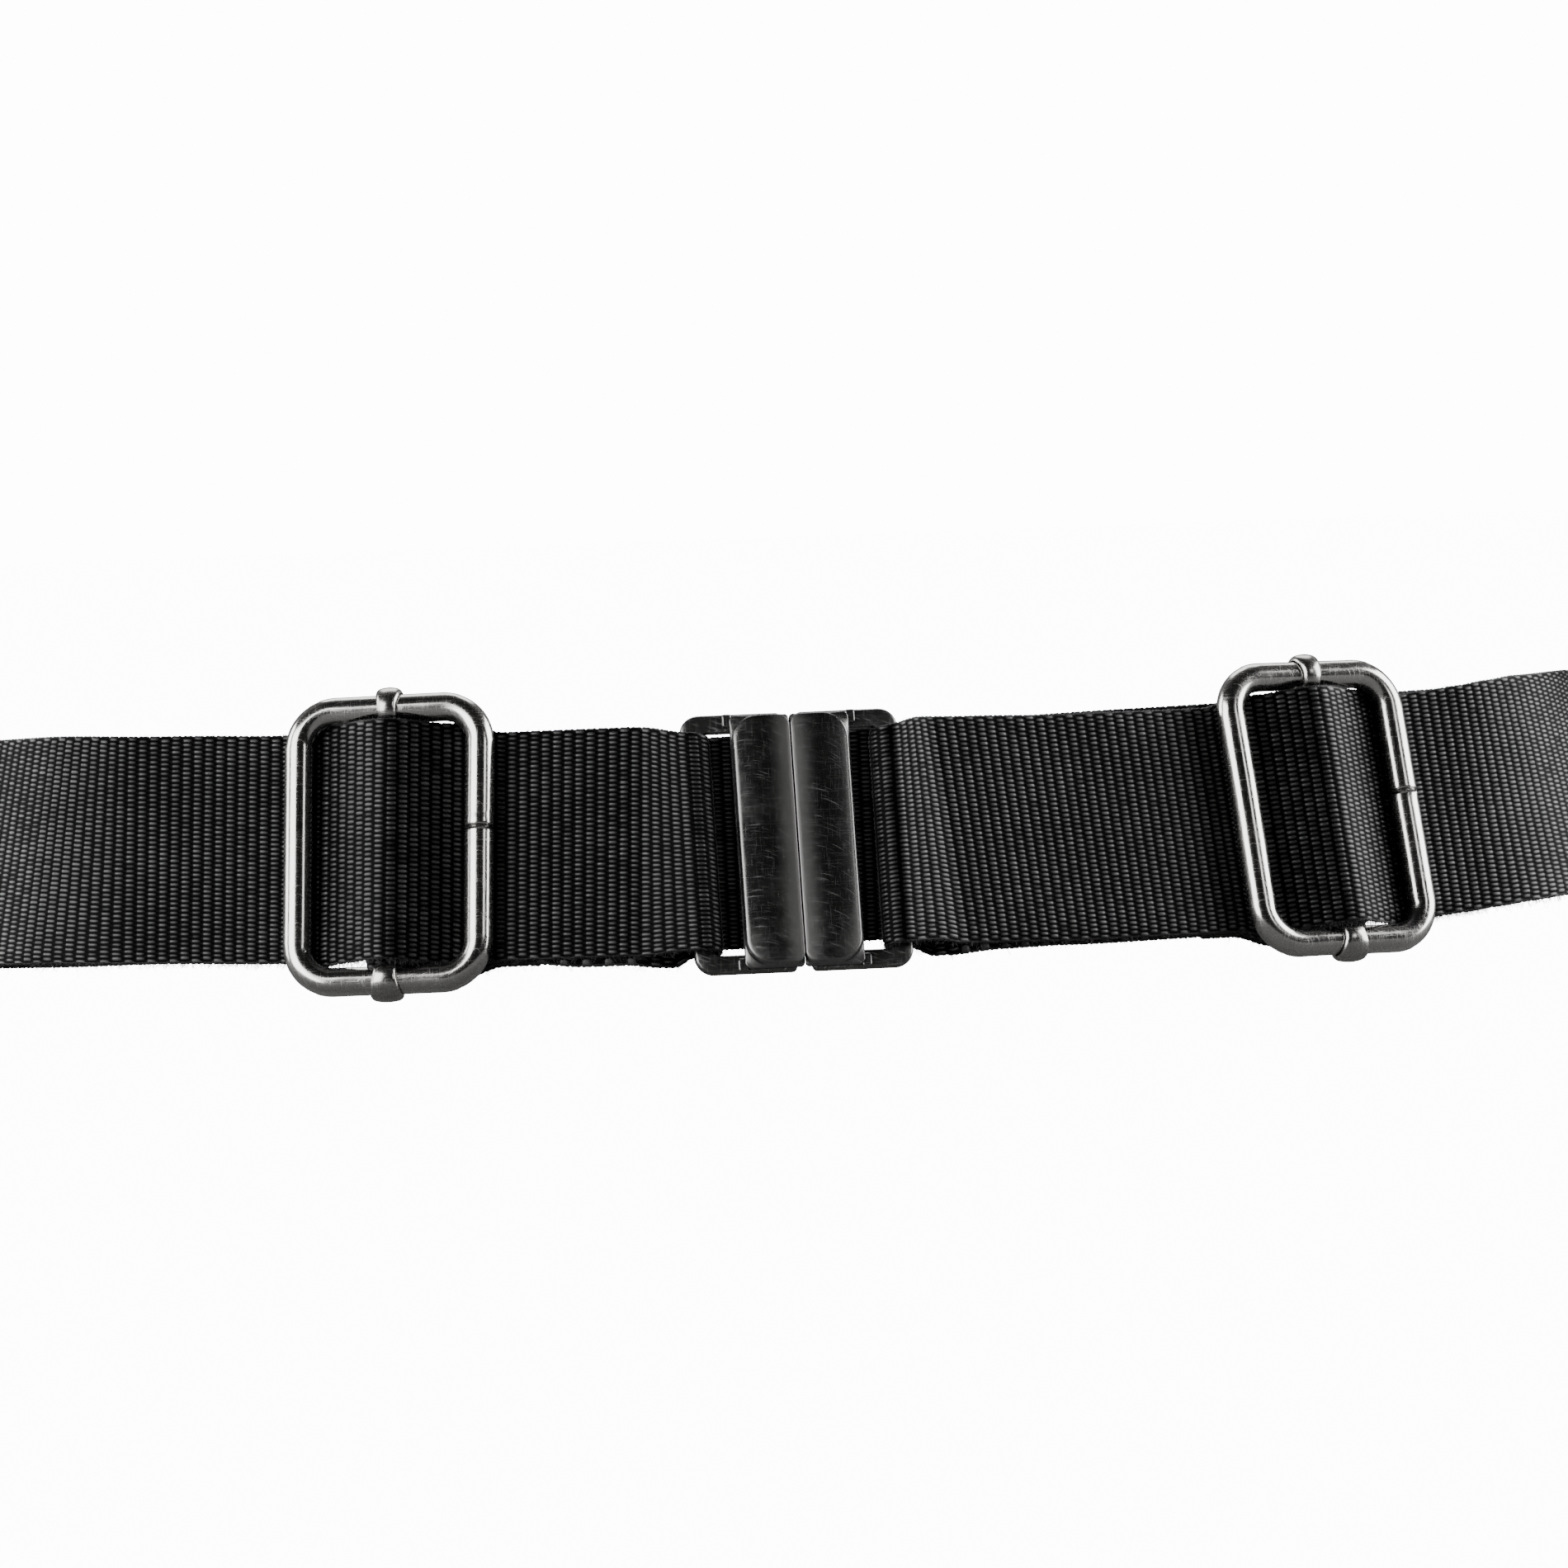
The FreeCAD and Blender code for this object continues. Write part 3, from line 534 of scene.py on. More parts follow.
web_material = webbing_material("webbing_nylon", 0.011, 0.36)
thread_material = webbing_material("stitch_thread", 0.024, 0.45)
wire_material = metal_material("slider_wire", 0.66, 0.17, (1, 0.985, 0.95), 0.2, 0.22)
strip_material = metal_material("slider_strip", 0.5, 0.22, (1, 0.985, 0.95), 0.3, 0.35)
cover_material = metal_material("buckle_cover", 0.17, 0.27, (1, 0.99, 0.975), 0.16, 0.6)
base_material = metal_material("buckle_base", 0.17, 0.33, (1, 0.99, 0.97), 0.4, 0.5)

# ---- webbing --------------------------------------------------------------------------------


def strap_lines(side):
    """The strap's middle line in (along, depth) at its lower and upper edge, from the return layer's end."""
    lines = []
    for z in (-MIDDLE, MIDDLE):
        level = side.half_point(0.0, 0.0, z)
        local = (level - side.bar) @ side.run_axes
        bar_x, bar_d = local[0], side.outward * local[1] + BAR_DEPTH
        angle = np.radians(np.linspace(270, 90, 60))
        fold = np.stack([bar_x + FOLD_RADIUS * np.cos(angle), bar_d + FOLD_RADIUS * np.sin(angle)], -1)
        tip_low, tip_high = np.array([FOLD_TIP, -LAYER_STEP]), np.array([FOLD_TIP, 0.0])

        def leg(a, b, n):
            return a + (b - a) * np.linspace(0, 1, n)[:, None]

        near, far = side.slider - TOE_AT, side.slider + TOE_AT
        reach = np.array([TOE_AT, CROWN_DEPTH - CROWN_RADIUS - WIRE_DEPTH])
        span = math.hypot(*reach)
        flank_turn = math.asin((TOE_RADIUS + CROWN_RADIUS) / span) + math.atan2(reach[1], reach[0])
        flank = math.sqrt(span**2 - (TOE_RADIUS + CROWN_RADIUS) ** 2)
        t = np.linspace(0, flank_turn, 30)
        toe = np.stack([near + TOE_RADIUS * np.sin(t), TOE_RADIUS * (1 - np.cos(t))], -1)
        up = toe[-1] + flank * np.array([math.cos(flank_turn), math.sin(flank_turn)])
        t = np.linspace(flank_turn, 0, 40)
        centre = np.array([side.slider, CROWN_DEPTH - CROWN_RADIUS])
        crown = centre + CROWN_RADIUS * np.stack([-np.sin(t), np.cos(t)], -1)
        half_hump = np.concatenate([toe, leg(toe[-1], up, 12)[1:], crown[1:]])
        other = half_hump[::-1][1:] * [-1, 1] + [2 * side.slider, 0]
        lines.append(
            np.concatenate(
                [
                    leg(np.array([side.slider - RETURN_END, -LAYER_STEP]), tip_low, 60),
                    leg(tip_low, fold[0], 24)[1:],
                    fold[1:],
                    leg(fold[-1], tip_high, 24)[1:],
                    leg(tip_high, np.array([near, 0.0]), 60)[1:],
                    half_hump[1:],
                    other,
                    leg(np.array([far, 0.0]), np.array([side.length, 0.0]), 900)[1:],
                ]
            )
        )
    return lines


def resample(lines, count):
    """count + 1 stations evenly spaced along the mean line, and unit normals to the left of the way."""
    mean = (lines[0] + lines[1]) / 2
    gone = np.concatenate([[0], np.cumsum(np.linalg.norm(np.diff(mean, axis=0), axis=1))])
    at = np.linspace(0, gone[-1], count + 1)
    result = []
    for line in lines:
        p = np.stack([np.interp(at, gone, line[:, 0]), np.interp(at, gone, line[:, 1])], -1)
        kernel = np.array([1, 2, 3, 2, 1]) / 9
        padded = np.pad(p, ((2, 2), (0, 0)), mode="reflect", reflect_type="odd")
        p = np.stack([np.convolve(padded[:, k], kernel, "valid") for k in (0, 1)], -1)
        t = np.gradient(p, axis=0)
        t /= np.linalg.norm(t, axis=1)[:, None]
        result.append((p, np.stack([-t[:, 1], t[:, 0]], -1)))
    return result, at


def woven(column, u, row_at, amp):
    """Height 0 to 1 of the yarn floats: columns across the strap, rows offset by half in every other one."""
    shifted = row_at[None, :] + 0.5 * (column[:, None] % 2)
    v = shifted - np.floor(shifted)
    level = amp[column[:, None] % amp.shape[0], np.floor(shifted).astype(int) % amp.shape[1]]
    return level * (np.sin(math.pi * u)[:, None] ** 0.6) * (np.sin(math.pi * v) ** 0.8)


def strap_grid(soup, mapping, stations, along, first, last, front_per=4, back_per=2, floats=FLOATS):
    """A closed length of strap between two stations, woven on both faces."""
    (low, low_n), (high, high_n) = stations
    i = np.arange(first - 1, last + 2)
    pick = np.clip(i, 0, len(low) - 1)
    column, u = i // PER_COLUMN, (i % PER_COLUMN) / PER_COLUMN
    edge = 0.7
    wide = WEB_WIDE - 2 * edge
    rows_front = np.arange(floats * front_per + 1) / front_per
    rows_back = np.arange(floats * back_per + 1)[::-1] / back_per
    amp = np.clip(float_level, 0.6, 1.25)
    front = woven(column, u, rows_front, amp)
    rear = woven(column + 1, u, rows_back, amp)
    scallop = 0.72 + 0.38 * np.abs(np.sin(2 * math.pi * i / PER_COLUMN))[:, None]
    ends = np.radians([32, 62, 90, 118, 148])[None, :]
    z_front = np.broadcast_to(edge + rows_front / floats * wide, front.shape)
    z_rear = np.broadcast_to(edge + rows_back / floats * wide, rear.shape)
    taper_front = np.clip(np.minimum(z_front, WEB_WIDE - z_front) / 1.6, 0.72, 1)
    off_front = (0.46 + 0.31 * front) * taper_front
    off_rear = -(0.46 + 0.27 * rear)
    wave = 0.10 * np.sin(i / PER_COLUMN * 0.23 + 1.0)[:, None]
    z_top = WEB_WIDE - edge + edge * scallop * np.sin(ends) + wave
    z_low = edge - edge * scallop * np.sin(ends) + wave
    z = np.concatenate([z_front, z_top, z_rear, z_low], axis=1)
    off_edge = 0.42 * np.cos(ends) * np.ones_like(scallop)
    off = np.concatenate([off_front, off_edge, off_rear, -off_edge], axis=1)
    level = np.concatenate([front, 0.6 + 0 * z_top, rear, 0.6 + 0 * z_low], axis=1)
    share = z / WEB_WIDE
    centre = low[pick][:, None] * (1 - share[..., None]) + high[pick][:, None] * share[..., None]
    normal = low_n[pick][:, None] * (1 - share[..., None]) + high_n[pick][:, None] * share[..., None]
    place = centre + off[..., None] * normal
    rings = mapping(place[..., 0], place[..., 1], z)
    weave = np.stack([np.broadcast_to(along[pick][:, None], z.shape), z, level], -1)
    soup.grid(rings[1:-1], weave[1:-1], neighbours=rings[[0, -1]])


def fuzz(soup, mapping, stations, along, first, last, count, z_edge=0.0, long=1.7):
    """Loose filaments and small loops that stand out of one edge of the strap."""
    (low, low_n), (high, high_n) = stations
    line, normal = (low, low_n) if z_edge < MIDDLE else (high, high_n)
    out = -1 if z_edge < MIDDLE else 1
    for _ in range(count):
        at = rng.uniform(first + 1, last - 1)
        i = int(at)
        span = rng.normal(0, 0.9)
        reach = rng.uniform(0.25, 1.0) ** 1.6 * long
        loop = rng.random() < 0.45
        t = np.linspace(0, 1, 5)
        dx = span * t + (0.5 * np.sin(math.pi * t) * rng.normal())
        dz = out * (reach * (np.sin(math.pi * t) if loop else t**0.8)) - out * 0.35
        off = rng.uniform(-0.5, 0.5) + 0.5 * t * rng.normal()
        base = line[i] + normal[i] * off[:, None]
        along_dir = np.array([normal[i][1], -normal[i][0]])
        p = base + dx[:, None] * along_dir
        points = mapping(p[:, 0], p[:, 1], z_edge + dz)
        radius = np.linspace(0.045, 0.03 if loop else 0.018, 5)
        tube(soup, points, radius, 3, (along[i], 2.0, 0.8))


float_level = rng.normal(1.0, 0.12, size=(97, 61))


def make(soup, name, body, material, nodes=()):
    """A rigid piece on one body; a piece given more than one body is left unparented, its transform baked
    into the mesh.
    """
    obj = soup.build(name, material)
    if isinstance(body, str):
        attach(obj, body)
    else:
        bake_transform(obj)
    if nodes:
        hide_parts(*nodes)
    return obj


def web_side(side):
    lines = strap_lines(side)
    mean = (lines[0] + lines[1]) / 2
    total = np.linalg.norm(np.diff(mean, axis=0), axis=1).sum()
    columns = round(total / COLUMN)
    if side.sign > 0:
        columns += columns % 2
    stations, along = resample(lines, columns * PER_COLUMN)
    x = stations[0][0][:, 0]
    turn_at = int(np.argmin(x))

    def station(where, after=turn_at):
        """The column boundary nearest a place along the run, on the outer layer."""
        found = after + int(np.argmin(np.abs(x[after:] - where)))
        return PER_COLUMN * round(found / PER_COLUMN)

    back_tip = PER_COLUMN * round(int(np.argmin(np.abs(x[:turn_at] - FOLD_TIP))) / PER_COLUMN)
    tip = station(FOLD_TIP)
    near, far = station(side.slider - TOE_AT), station(side.slider + TOE_AT)
    crown = station(side.slider)
    run, bend = station(side.run), station(side.run + side.bend_length)
    name, last = side.name, len(x) - 1
    mapping = side.belt_point

    def row(xx, d=0.0):
        return to_row(mapping(np.array([xx]), np.array([d]), np.array([MIDDLE])))[0]

    end, slider, bar = f"{name}_end", f"{name}_slider", f"{name}_bar"
    near_x, far_x = side.slider - TOE_AT, side.slider + TOE_AT
    # the return layer's last stretch takes up the bar's float, so its end stays with the sewn end
    give_from, give_to = side.slider - RETURN_END, side.slider - RETURN_END - GIVE
    give = PER_COLUMN * round(int(np.argmin(np.abs(x[:turn_at] - give_to))) / PER_COLUMN)
    give_rows = row(give_from, -LAYER_STEP), row(give_to, -LAYER_STEP)
    # clear of the bend's ends, so that the lean of the strap opens no crack there
    clear = 3
    run_end, bend_start = row(side.run - clear), row(side.run + clear)
    bend_end = row(side.run + side.bend_length - clear)
    # piece, its first and last station, what it rides on or the bodies and points it spans between, its CAD
    # node, loose hairs
    spans = [
        ("return_end", 0, give, (bar, slider, *give_rows), "return_webbing", 12),
        ("return_layer", give, back_tip, (slider, end, row(give_to), row(FOLD_TIP)), "return_webbing", 24),
        ("fold", back_tip, tip, end, "buckle_fold", 60),
        ("buckle_span", tip, near, (end, slider, row(FOLD_TIP), row(near_x)), "buckle_span", 60),
        ("hump_near", near, crown, (slider, bar, row(near_x), row(side.slider - 4)), "hump_webbing", 90),
        ("hump_far", crown, far, (bar, slider, row(side.slider + 4), row(far_x)), "hump_webbing", 90),
        ("outer_span", far, run, (slider, end, row(far_x), run_end), "outer_span", 170),
        ("bend", run, bend, (end, "belt", bend_start, bend_end), "bend_webbing", 60),
    ]
    for part, first, final, body, node, hairs in spans:
        soup = Soup()
        strap_grid(soup, mapping, stations, along, first, final)
        fuzz(soup, mapping, stations, along, first, final, hairs * 2)
        fuzz(soup, mapping, stations, along, first, final, hairs // 3, WEB_WIDE, 0.8)
        make(soup, f"{name}_{part}", body, web_material, [f"{name}_{node}"])
    middle = PER_COLUMN * round((bend + last) / 2 / PER_COLUMN)
    for part, first, final in (("rear_near", bend, middle), ("rear_far", middle, last)):
        soup = Soup()
        strap_grid(soup, mapping, stations, along, first, final, front_per=2)
        fuzz(soup, mapping, stations, along, first, final, 160)
        make(soup, f"{name}_{part}", "belt", web_material, ["rear_webbing"])
    sewn(side)


def chaikin(points, rounds=3):
    """Rounds the corners of an open line."""
    p = np.asarray(points, float)
    for _ in range(rounds):
        q = p[:-1] * 0.75 + p[1:] * 0.25
        r = p[:-1] * 0.25 + p[1:] * 0.75
        p = np.concatenate([p[:1], np.stack([q, r], 1).reshape(-1, 2), p[-1:]])
    return p


def sewn(side):
    """The strap's end round the slider's bar, its tail, and the thread through it."""
    s = side.slider
    way = [
        (-RETURN_END, -1.8), (-8.0, 1.5), (-4.5, 3.85), (-4.1, 5.65), (-2.6, 6.6), (2.6, 6.6), (4.1, 5.45),
        (4.1, 3.05), (2.4, 1.8), (-2.6, 1.5),
        (-RETURN_END + 1.0, -3.55), (-RETURN_END - 3.0, -3.75), (-SEWN_TAIL + 1.5, -3.7),
    ]
    line = chaikin(way) + [s, 0]
    length = np.linalg.norm(np.diff(line, axis=0), axis=1).sum()
    columns = round(length / COLUMN)
    stations, along = resample([line, line], columns * PER_COLUMN)
    x = stations[0][0][:, 0] - s
    leg = PER_COLUMN * round(int(np.argmax(x > -5.5)) / PER_COLUMN)
    mapping = side.inner_point
    name = side.name

    soup = Soup()
    strap_grid(soup, mapping, stations, along, 0, leg)
    make(soup, f"{name}_sewn_leg", f"{name}_bar", web_material, [f"{name}_sewn_end"])
    soup = Soup()
    strap_grid(soup, mapping, stations, along, leg, columns * PER_COLUMN)
    fuzz(soup, mapping, stations, along, leg, columns * PER_COLUMN, 60)
    make(soup, f"{name}_sewn_loop", f"{name}_bar", web_material, [f"{name}_sewn_end"])
    # thread: a box of lockstitches with a cross, sunk a little between the floats
    soup = Soup()
    left, right, low, high = -SEWN_TAIL + 2.6, -RETURN_END - 1.6, 3.5, WEB_WIDE - 3.5
    rows = [
        ((left, low), (left, high)), ((right, low), (right, high)),
        ((left, low), (right, low)), ((left, high), (right, high)),
        ((left, low), (right, high)), ((left, high), (right, low)),
        ((left + 1.6, low), (left + 1.6, high)),
    ]
    for a, b in rows:
        a, b = np.array(a), np.array(b)
        count = max(3, round(np.linalg.norm(b - a) / STITCH))
        for k in range(count):
            f = (k + np.linspace(0.06, 0.94, 9)) / count
            p = a + (b - a) * f[:, None] + rng.normal(0, 0.06, 2)
            arch = np.sin(math.pi * np.linspace(0, 1, 9))
            depth = TAIL_BACK - 0.66 - 0.42 * arch**0.5
            radius = THREAD * (0.55 + 0.45 * arch**0.4)
            twist = np.stack([np.full(9, k * 1.7), f * 9, 0.8 + 0 * f], -1)[:, None]
            tube(soup, mapping(s + p[:, 0], depth, p[:, 1]), radius, 8, twist)
    make(soup, f"{name}_thread", f"{name}_bar", thread_material, [f"{name}_stitching"])


# ---- sliders --------------------------------------------------------------------------------


def slider(side):
    """The bent wire with its butt joint, and the flat bar curled round it."""
    name, s, lift = side.name, side.slider, side.lift
    seam_x = -HALF_PITCH if side.sign < 0 else HALF_PITCH
    seam_z = 3.0
    path = rounded_rectangle(-HALF_PITCH, HALF_PITCH, -HALF_HEIGHT, HALF_HEIGHT, [WIRE_CORNER] * 4, 60, 26)
    on_bar = np.abs(path[:, 0] - seam_x) < 0.01
    start = int(np.argmin(np.where(on_bar, np.abs(path[:, 1] - seam_z), 99)))
    path = np.roll(path, -start, axis=0)
    step = path[1] - path[0]
    step = step / np.linalg.norm(step)
    # the joint: both ends of the wire, chamfered, with a hair of space between them
    path[0] = [seam_x, seam_z]
    head = [path[0] + step * k for k in (0.05, 0.12, 0.3, 0.6)]
    tail = [path[0] - step * k for k in (0.6, 0.3, 0.12, 0.05)]
    radius = np.concatenate([[0.90, 0.95, 0.985, 1], np.ones(len(path) - 1), [1, 0.99, 0.96, 0.90]])
    path = np.concatenate([head, path[1:], tail])
    n = len(path)
    tangent = np.gradient(path, axis=0)
    tangent /= np.linalg.norm(tangent, axis=1)[:, None]
    across = np.stack([-tangent[:, 1], tangent[:, 0]], -1)
    wobble = 0.06 * smooth_noise(n, 40, rng)
    depth = WIRE_DEPTH + 0.05 * smooth_noise(n, 50, rng)
    depth[-6:] += 0.12
    angle = np.arange(40) * 2 * math.pi / 40
    size = WIRE * radius * (1 + 0.004 * smooth_noise(n, 12, rng))
    bent = np.abs(np.abs(tangent[:, 0]) - 0.5) < 0.45
    flat = 1 - 0.03 * bent
    x = path[:, 0] + wobble * across[:, 0]
    z = path[:, 1] + wobble * across[:, 1]
    wide = size * flat
    rings = side.run_point(
        s + x[:, None] + wide[:, None] * across[:, :1] * np.cos(angle),
        depth[:, None] + size[:, None] * np.sin(angle),
        MIDDLE + lift + z[:, None] + wide[:, None] * across[:, 1:] * np.cos(angle),
    )
    soup = Soup()
    soup.grid(rings)
    make(soup, f"{name}_wire", f"{name}_slider", wire_material, [f"{name}_slider_frame"])

    soup = Soup()
    bore, outside = WIRE + 0.15, WIRE + 1.65
    for height, half_wide, up in ((HALF_HEIGHT, 2.7, 1), (-HALF_HEIGHT, 3.4, -1)):
        # the curl leaves the stem in front, goes over the wire and ends behind it
        turn = np.radians(np.linspace(-78, 236, 64))
        section = rounded_rectangle(bore, outside, -half_wide, half_wide, [1.0, 1.0, 0.25, 0.25], 8, 7)
        ends = np.ones(len(turn))
        ends[:3], ends[-3:] = [0.82, 0.93, 0.98], [0.98, 0.93, 0.82]
        centre = (bore + outside) / 2
        bulge = 0.55 * (section[:, 1] / half_wide) ** 2
        domed = section[:, 0] - bulge * (section[:, 0] - bore) / (outside - bore)
        r = centre + (domed[None] - centre) * ends[:, None]
        w = section[None, :, 1] * (0.5 + 0.5 * ends[:, None])
        # narrowest in front, widest where it goes over the wire
        w = w * (0.78 + 0.26 * np.clip(np.sin(turn), 0, 1)[:, None])
        out = r * np.cos(turn)[:, None]
        rise = up * r * np.sin(turn)[:, None]
        soup.grid(side.run_point(s + w, WIRE_DEPTH + out, MIDDLE + lift + height + rise))
    reach = HALF_HEIGHT - WIRE - 0.2
    levels = np.array([-reach, 0.3 - reach, *np.linspace(1 - reach, reach - 1, 20), reach - 0.3, reach])
    shrink = np.array([0.9, 0.98, *[1] * 20, 0.98, 0.9])
    half_x, half_d = STRIP_WIDE / 2, STRIP_THICK / 2
    outline = rounded_rectangle(-half_x, half_x, -half_d, half_d, [0.5] * 4, 6, 5)
    px = shrink[:, None] * outline[None, :, 0]
    pd = shrink[:, None] * outline[None, :, 1]
    soup.grid(side.run_point(s + px, WIRE_DEPTH + pd, MIDDLE + lift + levels[:, None] + 0 * px))
    make(soup, f"{name}_strip", f"{name}_bar", strip_material, [f"{name}_slider_bar"])


# ---- buckle ---------------------------------------------------------------------------------


def buckle(side):
    name = side.name
    seam_edge, outer_edge = -BAR_FROM_SEAM + PLATE_NEAR, -BAR_FROM_SEAM + PLATE_FAR

    def outline(seam_in, outer_in, end_in, seam_round, outer_round):
        radii = [outer_round, outer_round, seam_round, seam_round]
        top = PLATE_HALF - end_in
        return rounded_rectangle(seam_edge + seam_in, outer_edge - outer_in, -top, top, radii, 40, 12)

    soup = Soup()
    # a low flange that shows at the outer corners, then the raised pillow; each row is the inset from
    # the seam, from the outer edge and from the ends, the corner radii there, and the depth
    shape = [
        (0.0, 0.0, 0.0, 0.9, 1.3, 1.25), (0.0, 0.0, 0.0, 0.9, 1.3, 2.0),
        (0.02, 0.06, 0.06, 0.9, 1.3, 2.22), (0.02, 0.14, 0.16, 1.0, 1.5, 2.3),
        (0.02, 0.2, 0.22, 2.1, 5.6, 2.38), (0.02, 0.24, 0.26, 2.2, 5.7, 2.75),
        (0.02, 0.3, 0.32, 2.2, 5.65, 3.2), (0.03, 0.4, 0.44, 2.2, 5.6, 3.7),
        (0.06, 0.55, 0.62, 2.15, 5.5, 4.0), (0.12, 0.85, 0.95, 2.1, 5.3, 4.14),
        (0.28, 1.4, 1.55, 1.95, 4.9, 4.2), (1.0, 2.4, 2.6, 1.3, 3.8, 4.26),
        (2.5, 3.6, 3.9, 0.9, 2.5, 4.3), (3.8, 4.6, 5.0, 0.5, 1.4, 4.33),
        (5.0, 5.6, 6.1, 0.2, 0.5, 4.34), (5.9, 6.4, 6.9, 0.08, 0.1, 4.34),
    ]
    rings, marks = [], []
    for seam_in, outer_in, end_in, seam_round, outer_round, depth in shape:
        ring = outline(seam_in, outer_in, end_in, seam_round, outer_round)
        share = np.clip((depth - 2.35) / 1.6, 0, 1)
        from_seam = ring[:, 0] - seam_edge
        crown = 0.42 * (1 - ((from_seam - 6.2) / 6.4) ** 2)
        rings.append(side.half_point(ring[:, 0], depth + crown * share, ring[:, 1]))
        # the band along the seam: painted highlight in the colour, and a rougher satin finish
        satin_and_painted_highlight = np.exp(-((from_seam / 3.9) ** 4))
        low_end = np.clip((-ring[:, 1] - 12) / 14, 0, 1)
        rubbed = np.clip((from_seam - 7.5) / 4, 0, 1) * (0.2 + 1.0 * low_end) + 0.8 * low_end**3
        rubbed += 1.6 * (depth < 2.3) * low_end**2 * np.clip((from_seam - 9) / 3, 0, 1)
        lip = np.clip(1 - from_seam / 0.3, 0, 1)
        satin_and_highlight_share = satin_and_painted_highlight * (0.55 + 0.45 * share) * (1 - lip)
        marks.append(np.stack([rubbed - 3 * lip, 0 * satin_and_painted_highlight, satin_and_highlight_share], -1))
    soup.grid(np.array(rings), np.array(marks))
    make(soup, f"{name}_plate", f"{name}_half", cover_material, [f"{name}_buckle_cover"])

    # base: a flat ring with rolled edges; its slot holds the strap
    soup = Soup()
    arm_top = HALF_LOOP + LOOP_ARM
    low_x, high_x = -BAR_FROM_SEAM + 1.6, 2.3
    slot_x = -BAR_FROM_SEAM + 12.0
    slot_half = HALF_LOOP - 0.9

    def outer(inset):
        radii = [max(0.3, 4.2 - inset)] * 2 + [max(0.3, 1.2 - inset)] * 2
        top = arm_top - inset
        return rounded_rectangle(low_x + inset, high_x - inset, -top, top, radii, 30, 12)

    def slot(grow):
        radii = [1.3 + grow] * 2 + [1.0 + grow] * 2
        top = slot_half + grow
        return rounded_rectangle(slot_x - grow, -2.3 + grow, -top, top, radii, 30, 12)

    profile = []
    for a in np.radians([-90, -60, -30, 0, 30, 60, 90]):
        profile.append((outer(0.75 - 0.75 * math.cos(a)), 1.2 * math.sin(a)))
    for a in np.radians([90, 60, 30, 0, -30, -60, -90]):
        profile.append((slot(0.6 - 0.6 * math.cos(a)), 1.2 * math.sin(a)))
    rings = np.array([side.half_point(p[:, 0], d, p[:, 1]) for p, d in profile])
    soup.grid(rings, closed=True)
    # a small upset where the plate was folded over the base
    for z in (-1, 1):
        left, right = outer_edge - 0.6, outer_edge + 1.5
        box = rounded_rectangle(left, right, HALF_LOOP + 0.15, arm_top - 0.25, [0.5] * 4, 4, 5)
        stack = []
        for shrink, d in ((0, 1.0), (0, 1.55), (0.1, 1.8), (0.3, 1.92)):
            mid = box.mean(0)
            ring = mid + (box - mid) * (1 - shrink)
            stack.append(side.half_point(ring[:, 0], d, z * ring[:, 1]))
        soup.grid(np.array(stack))
    make(soup, f"{name}_base", f"{name}_half", base_material, [f"{name}_buckle_loop"])


for side in SIDES:
    web_side(side)
    slider(side)
    buckle(side)

tongue = frame["nodes"]["buckle_tongue"]
tongue.data.materials.clear()
tongue.data.materials.append(base_material)

# ---- stage ----------------------------------------------------------------------------------

WHITE = 15.0  # how strongly the paper and the backdrop glow for the camera alone
floor_mesh = bpy.data.meshes.new("floor")
r = 6.0
floor_mesh.from_pydata([(-r, -r, 0), (r, -r, 0), (r, r, 0), (-r, r, 0)], [], [(0, 1, 2, 3)])
floor = bpy.data.objects.new("floor", floor_mesh)
bpy.context.scene.collection.objects.link(floor)
floor.location.z = min(0.0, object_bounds()[0].z) - 0.0002
paper = Nodes("floor_paper")
place = paper.add("TexCoord").outputs["Object"]
tones = [(0.3, grey(0.14)), (0.7, grey(0.16))]
paper.put(paper.bsdf.inputs["Base Color"], paper.ramp(paper.noise(place, 3.0), tones))
paper.put(paper.bsdf.inputs["Roughness"], 0.8)
paper.put(paper.bsdf.inputs["Specular IOR Level"], 0.1)
glow = paper.add("Emission", {0: grey(1.0), 1: WHITE})
seen = paper.maths("MULTIPLY", paper.add("LightPath").outputs["Is Camera Ray"], 0.9)
both = paper.add("MixShader", {0: seen, 1: paper.bsdf.outputs[0], 2: glow.outputs[0]})
paper.put(paper.tree.nodes["Material Output"].inputs[0], both.outputs[0])
floor.data.materials.append(paper.material)


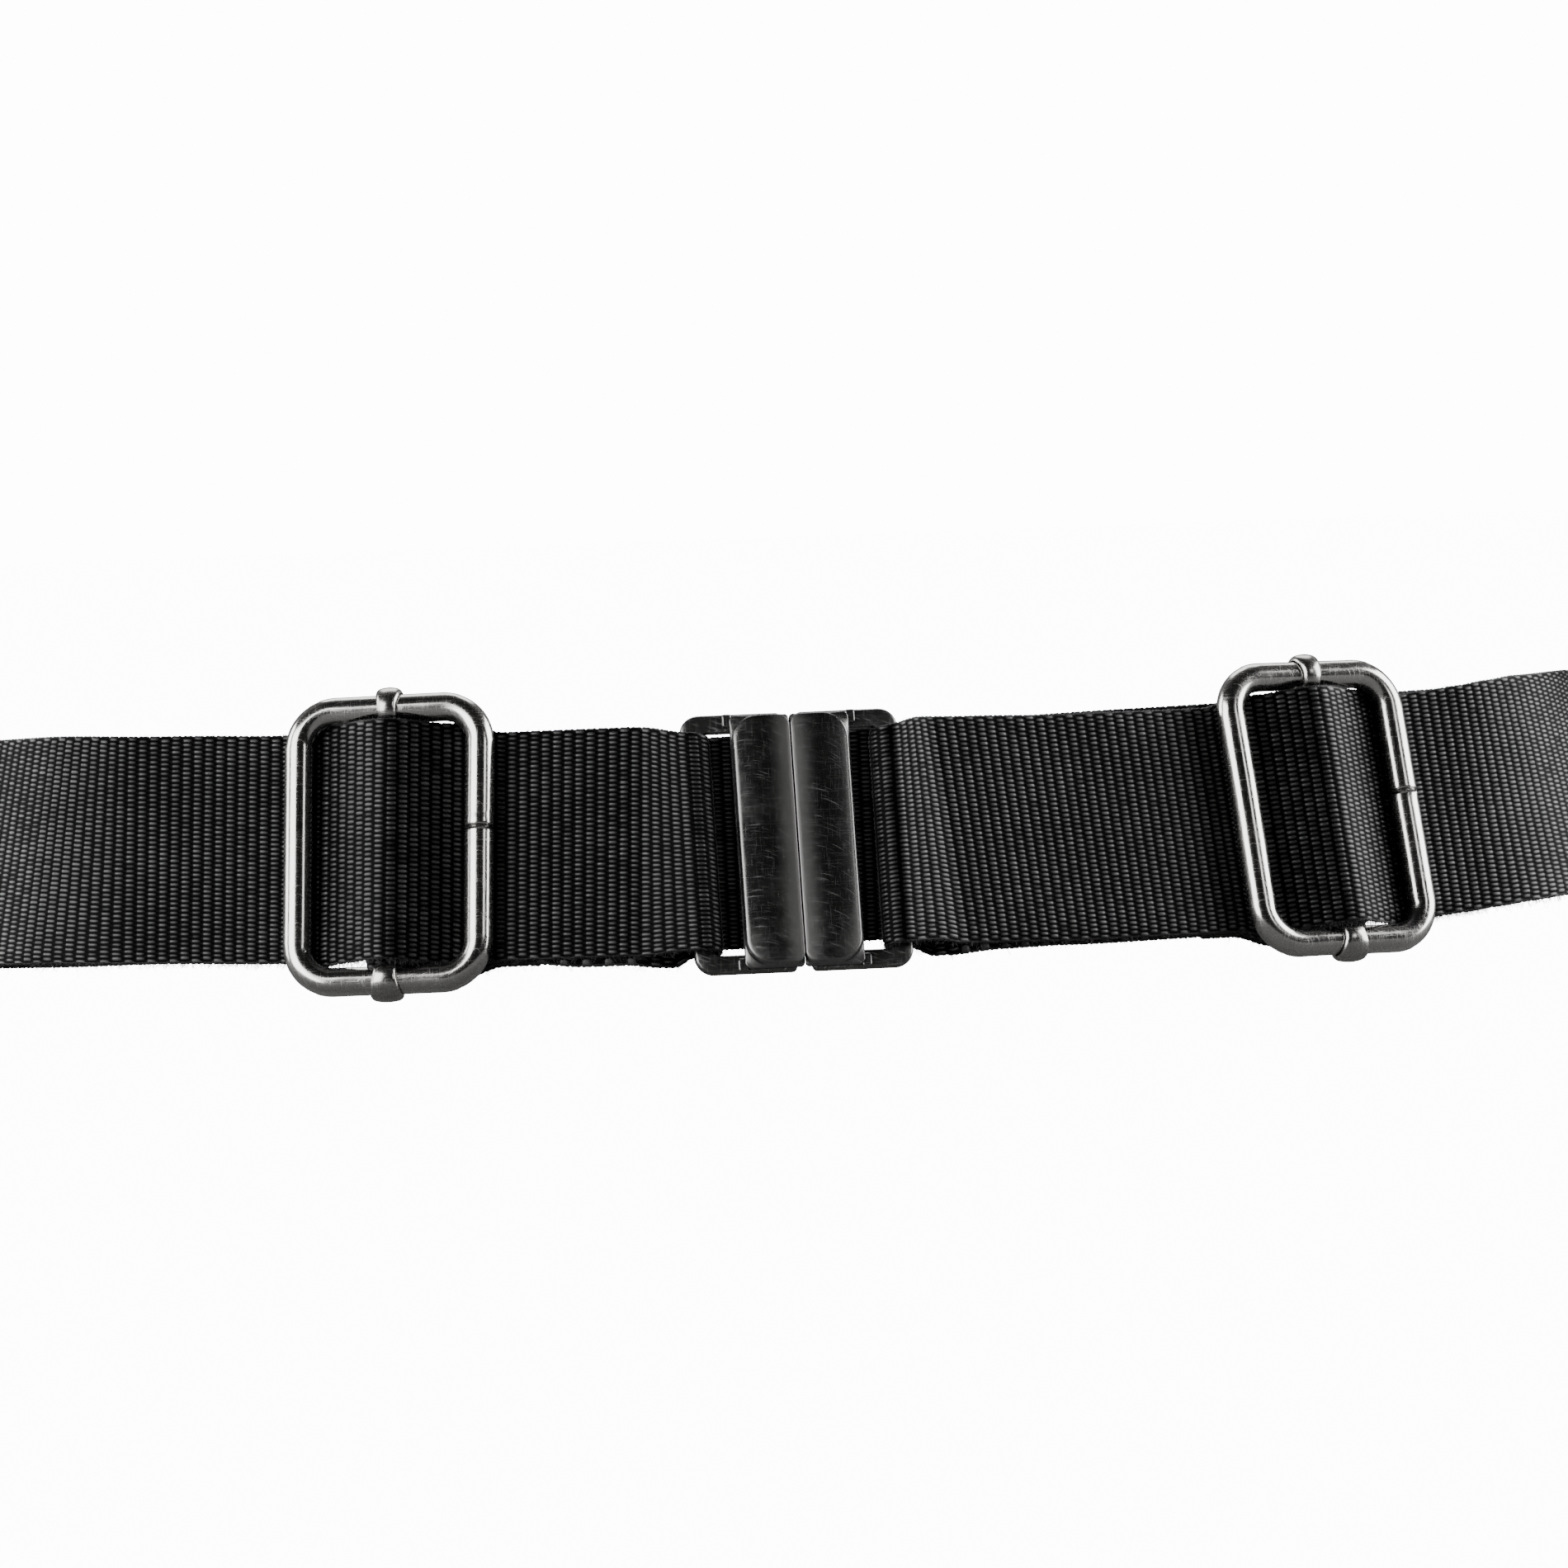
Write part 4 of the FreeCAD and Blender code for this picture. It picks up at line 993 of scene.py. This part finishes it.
def softbox(name, place, aim, wide, tall, power):
    data = bpy.data.lights.new(name, "AREA")
    data.shape, data.size, data.size_y, data.energy = "RECTANGLE", wide, tall, power
    lamp = bpy.data.objects.new(name, data)
    lamp.location = place
    lamp.rotation_mode = "QUATERNION"
    lamp.rotation_quaternion = (Vector(aim) - Vector(place)).to_track_quat("-Z", "Y")
    bpy.context.scene.collection.objects.link(lamp)


softbox("soft_left", (-1.02, -0.86, 0.42), (0, -0.06, 0.03), 1.0, 0.95, 25)
softbox("far_left", (-1.30, 0.20, 0.42), (0, -0.03, 0.03), 0.6, 0.9, 14)
softbox("soft_right", (1.19, 0.12, 0.42), (0, -0.03, 0.03), 1.0, 0.95, 30)
softbox("soft_top", (0, 0.95, 1.35), (0, 0, 0), 1.2, 0.9, 12)
softbox("fill_right", (1.10, -1.15, 0.75), (0, -0.09, 0.03), 0.30, 0.30, 1.2)

world = bpy.data.worlds.new("studio")
world.use_nodes = True
bpy.context.scene.world = world
tree = world.node_tree
tree.nodes.clear()
out = tree.nodes.new("ShaderNodeOutputWorld")
shown = tree.nodes.new("ShaderNodeBackground")
shown.inputs[0].default_value = (0.93, 0.93, 0.93, 1)
shown.inputs[1].default_value = WHITE
lit = tree.nodes.new("ShaderNodeBackground")
coordinate = tree.nodes.new("ShaderNodeTexCoord")
split = tree.nodes.new("ShaderNodeSeparateXYZ")
ramp = tree.nodes.new("ShaderNodeValToRGB")
stops = ramp.color_ramp.elements
stops[0].position, stops[0].color = 0.42, (0.012, 0.012, 0.012, 1)
stops[1].position, stops[1].color = 0.85, (0.22, 0.22, 0.22, 1)
half_shift = tree.nodes.new("ShaderNodeMath")
half_shift.operation = "MULTIPLY_ADD"
half_shift.inputs[1].default_value, half_shift.inputs[2].default_value = 0.5, 0.5
tree.links.new(coordinate.outputs["Generated"], split.inputs[0])
tree.links.new(split.outputs[1], half_shift.inputs[0])
tree.links.new(half_shift.outputs[0], ramp.inputs[0])
tree.links.new(ramp.outputs[0], lit.inputs[0])
path = tree.nodes.new("ShaderNodeLightPath")
mix = tree.nodes.new("ShaderNodeMixShader")
tree.links.new(path.outputs["Is Camera Ray"], mix.inputs[0])
tree.links.new(lit.outputs[0], mix.inputs[1])
tree.links.new(shown.outputs[0], mix.inputs[2])
tree.links.new(mix.outputs[0], out.inputs[0])
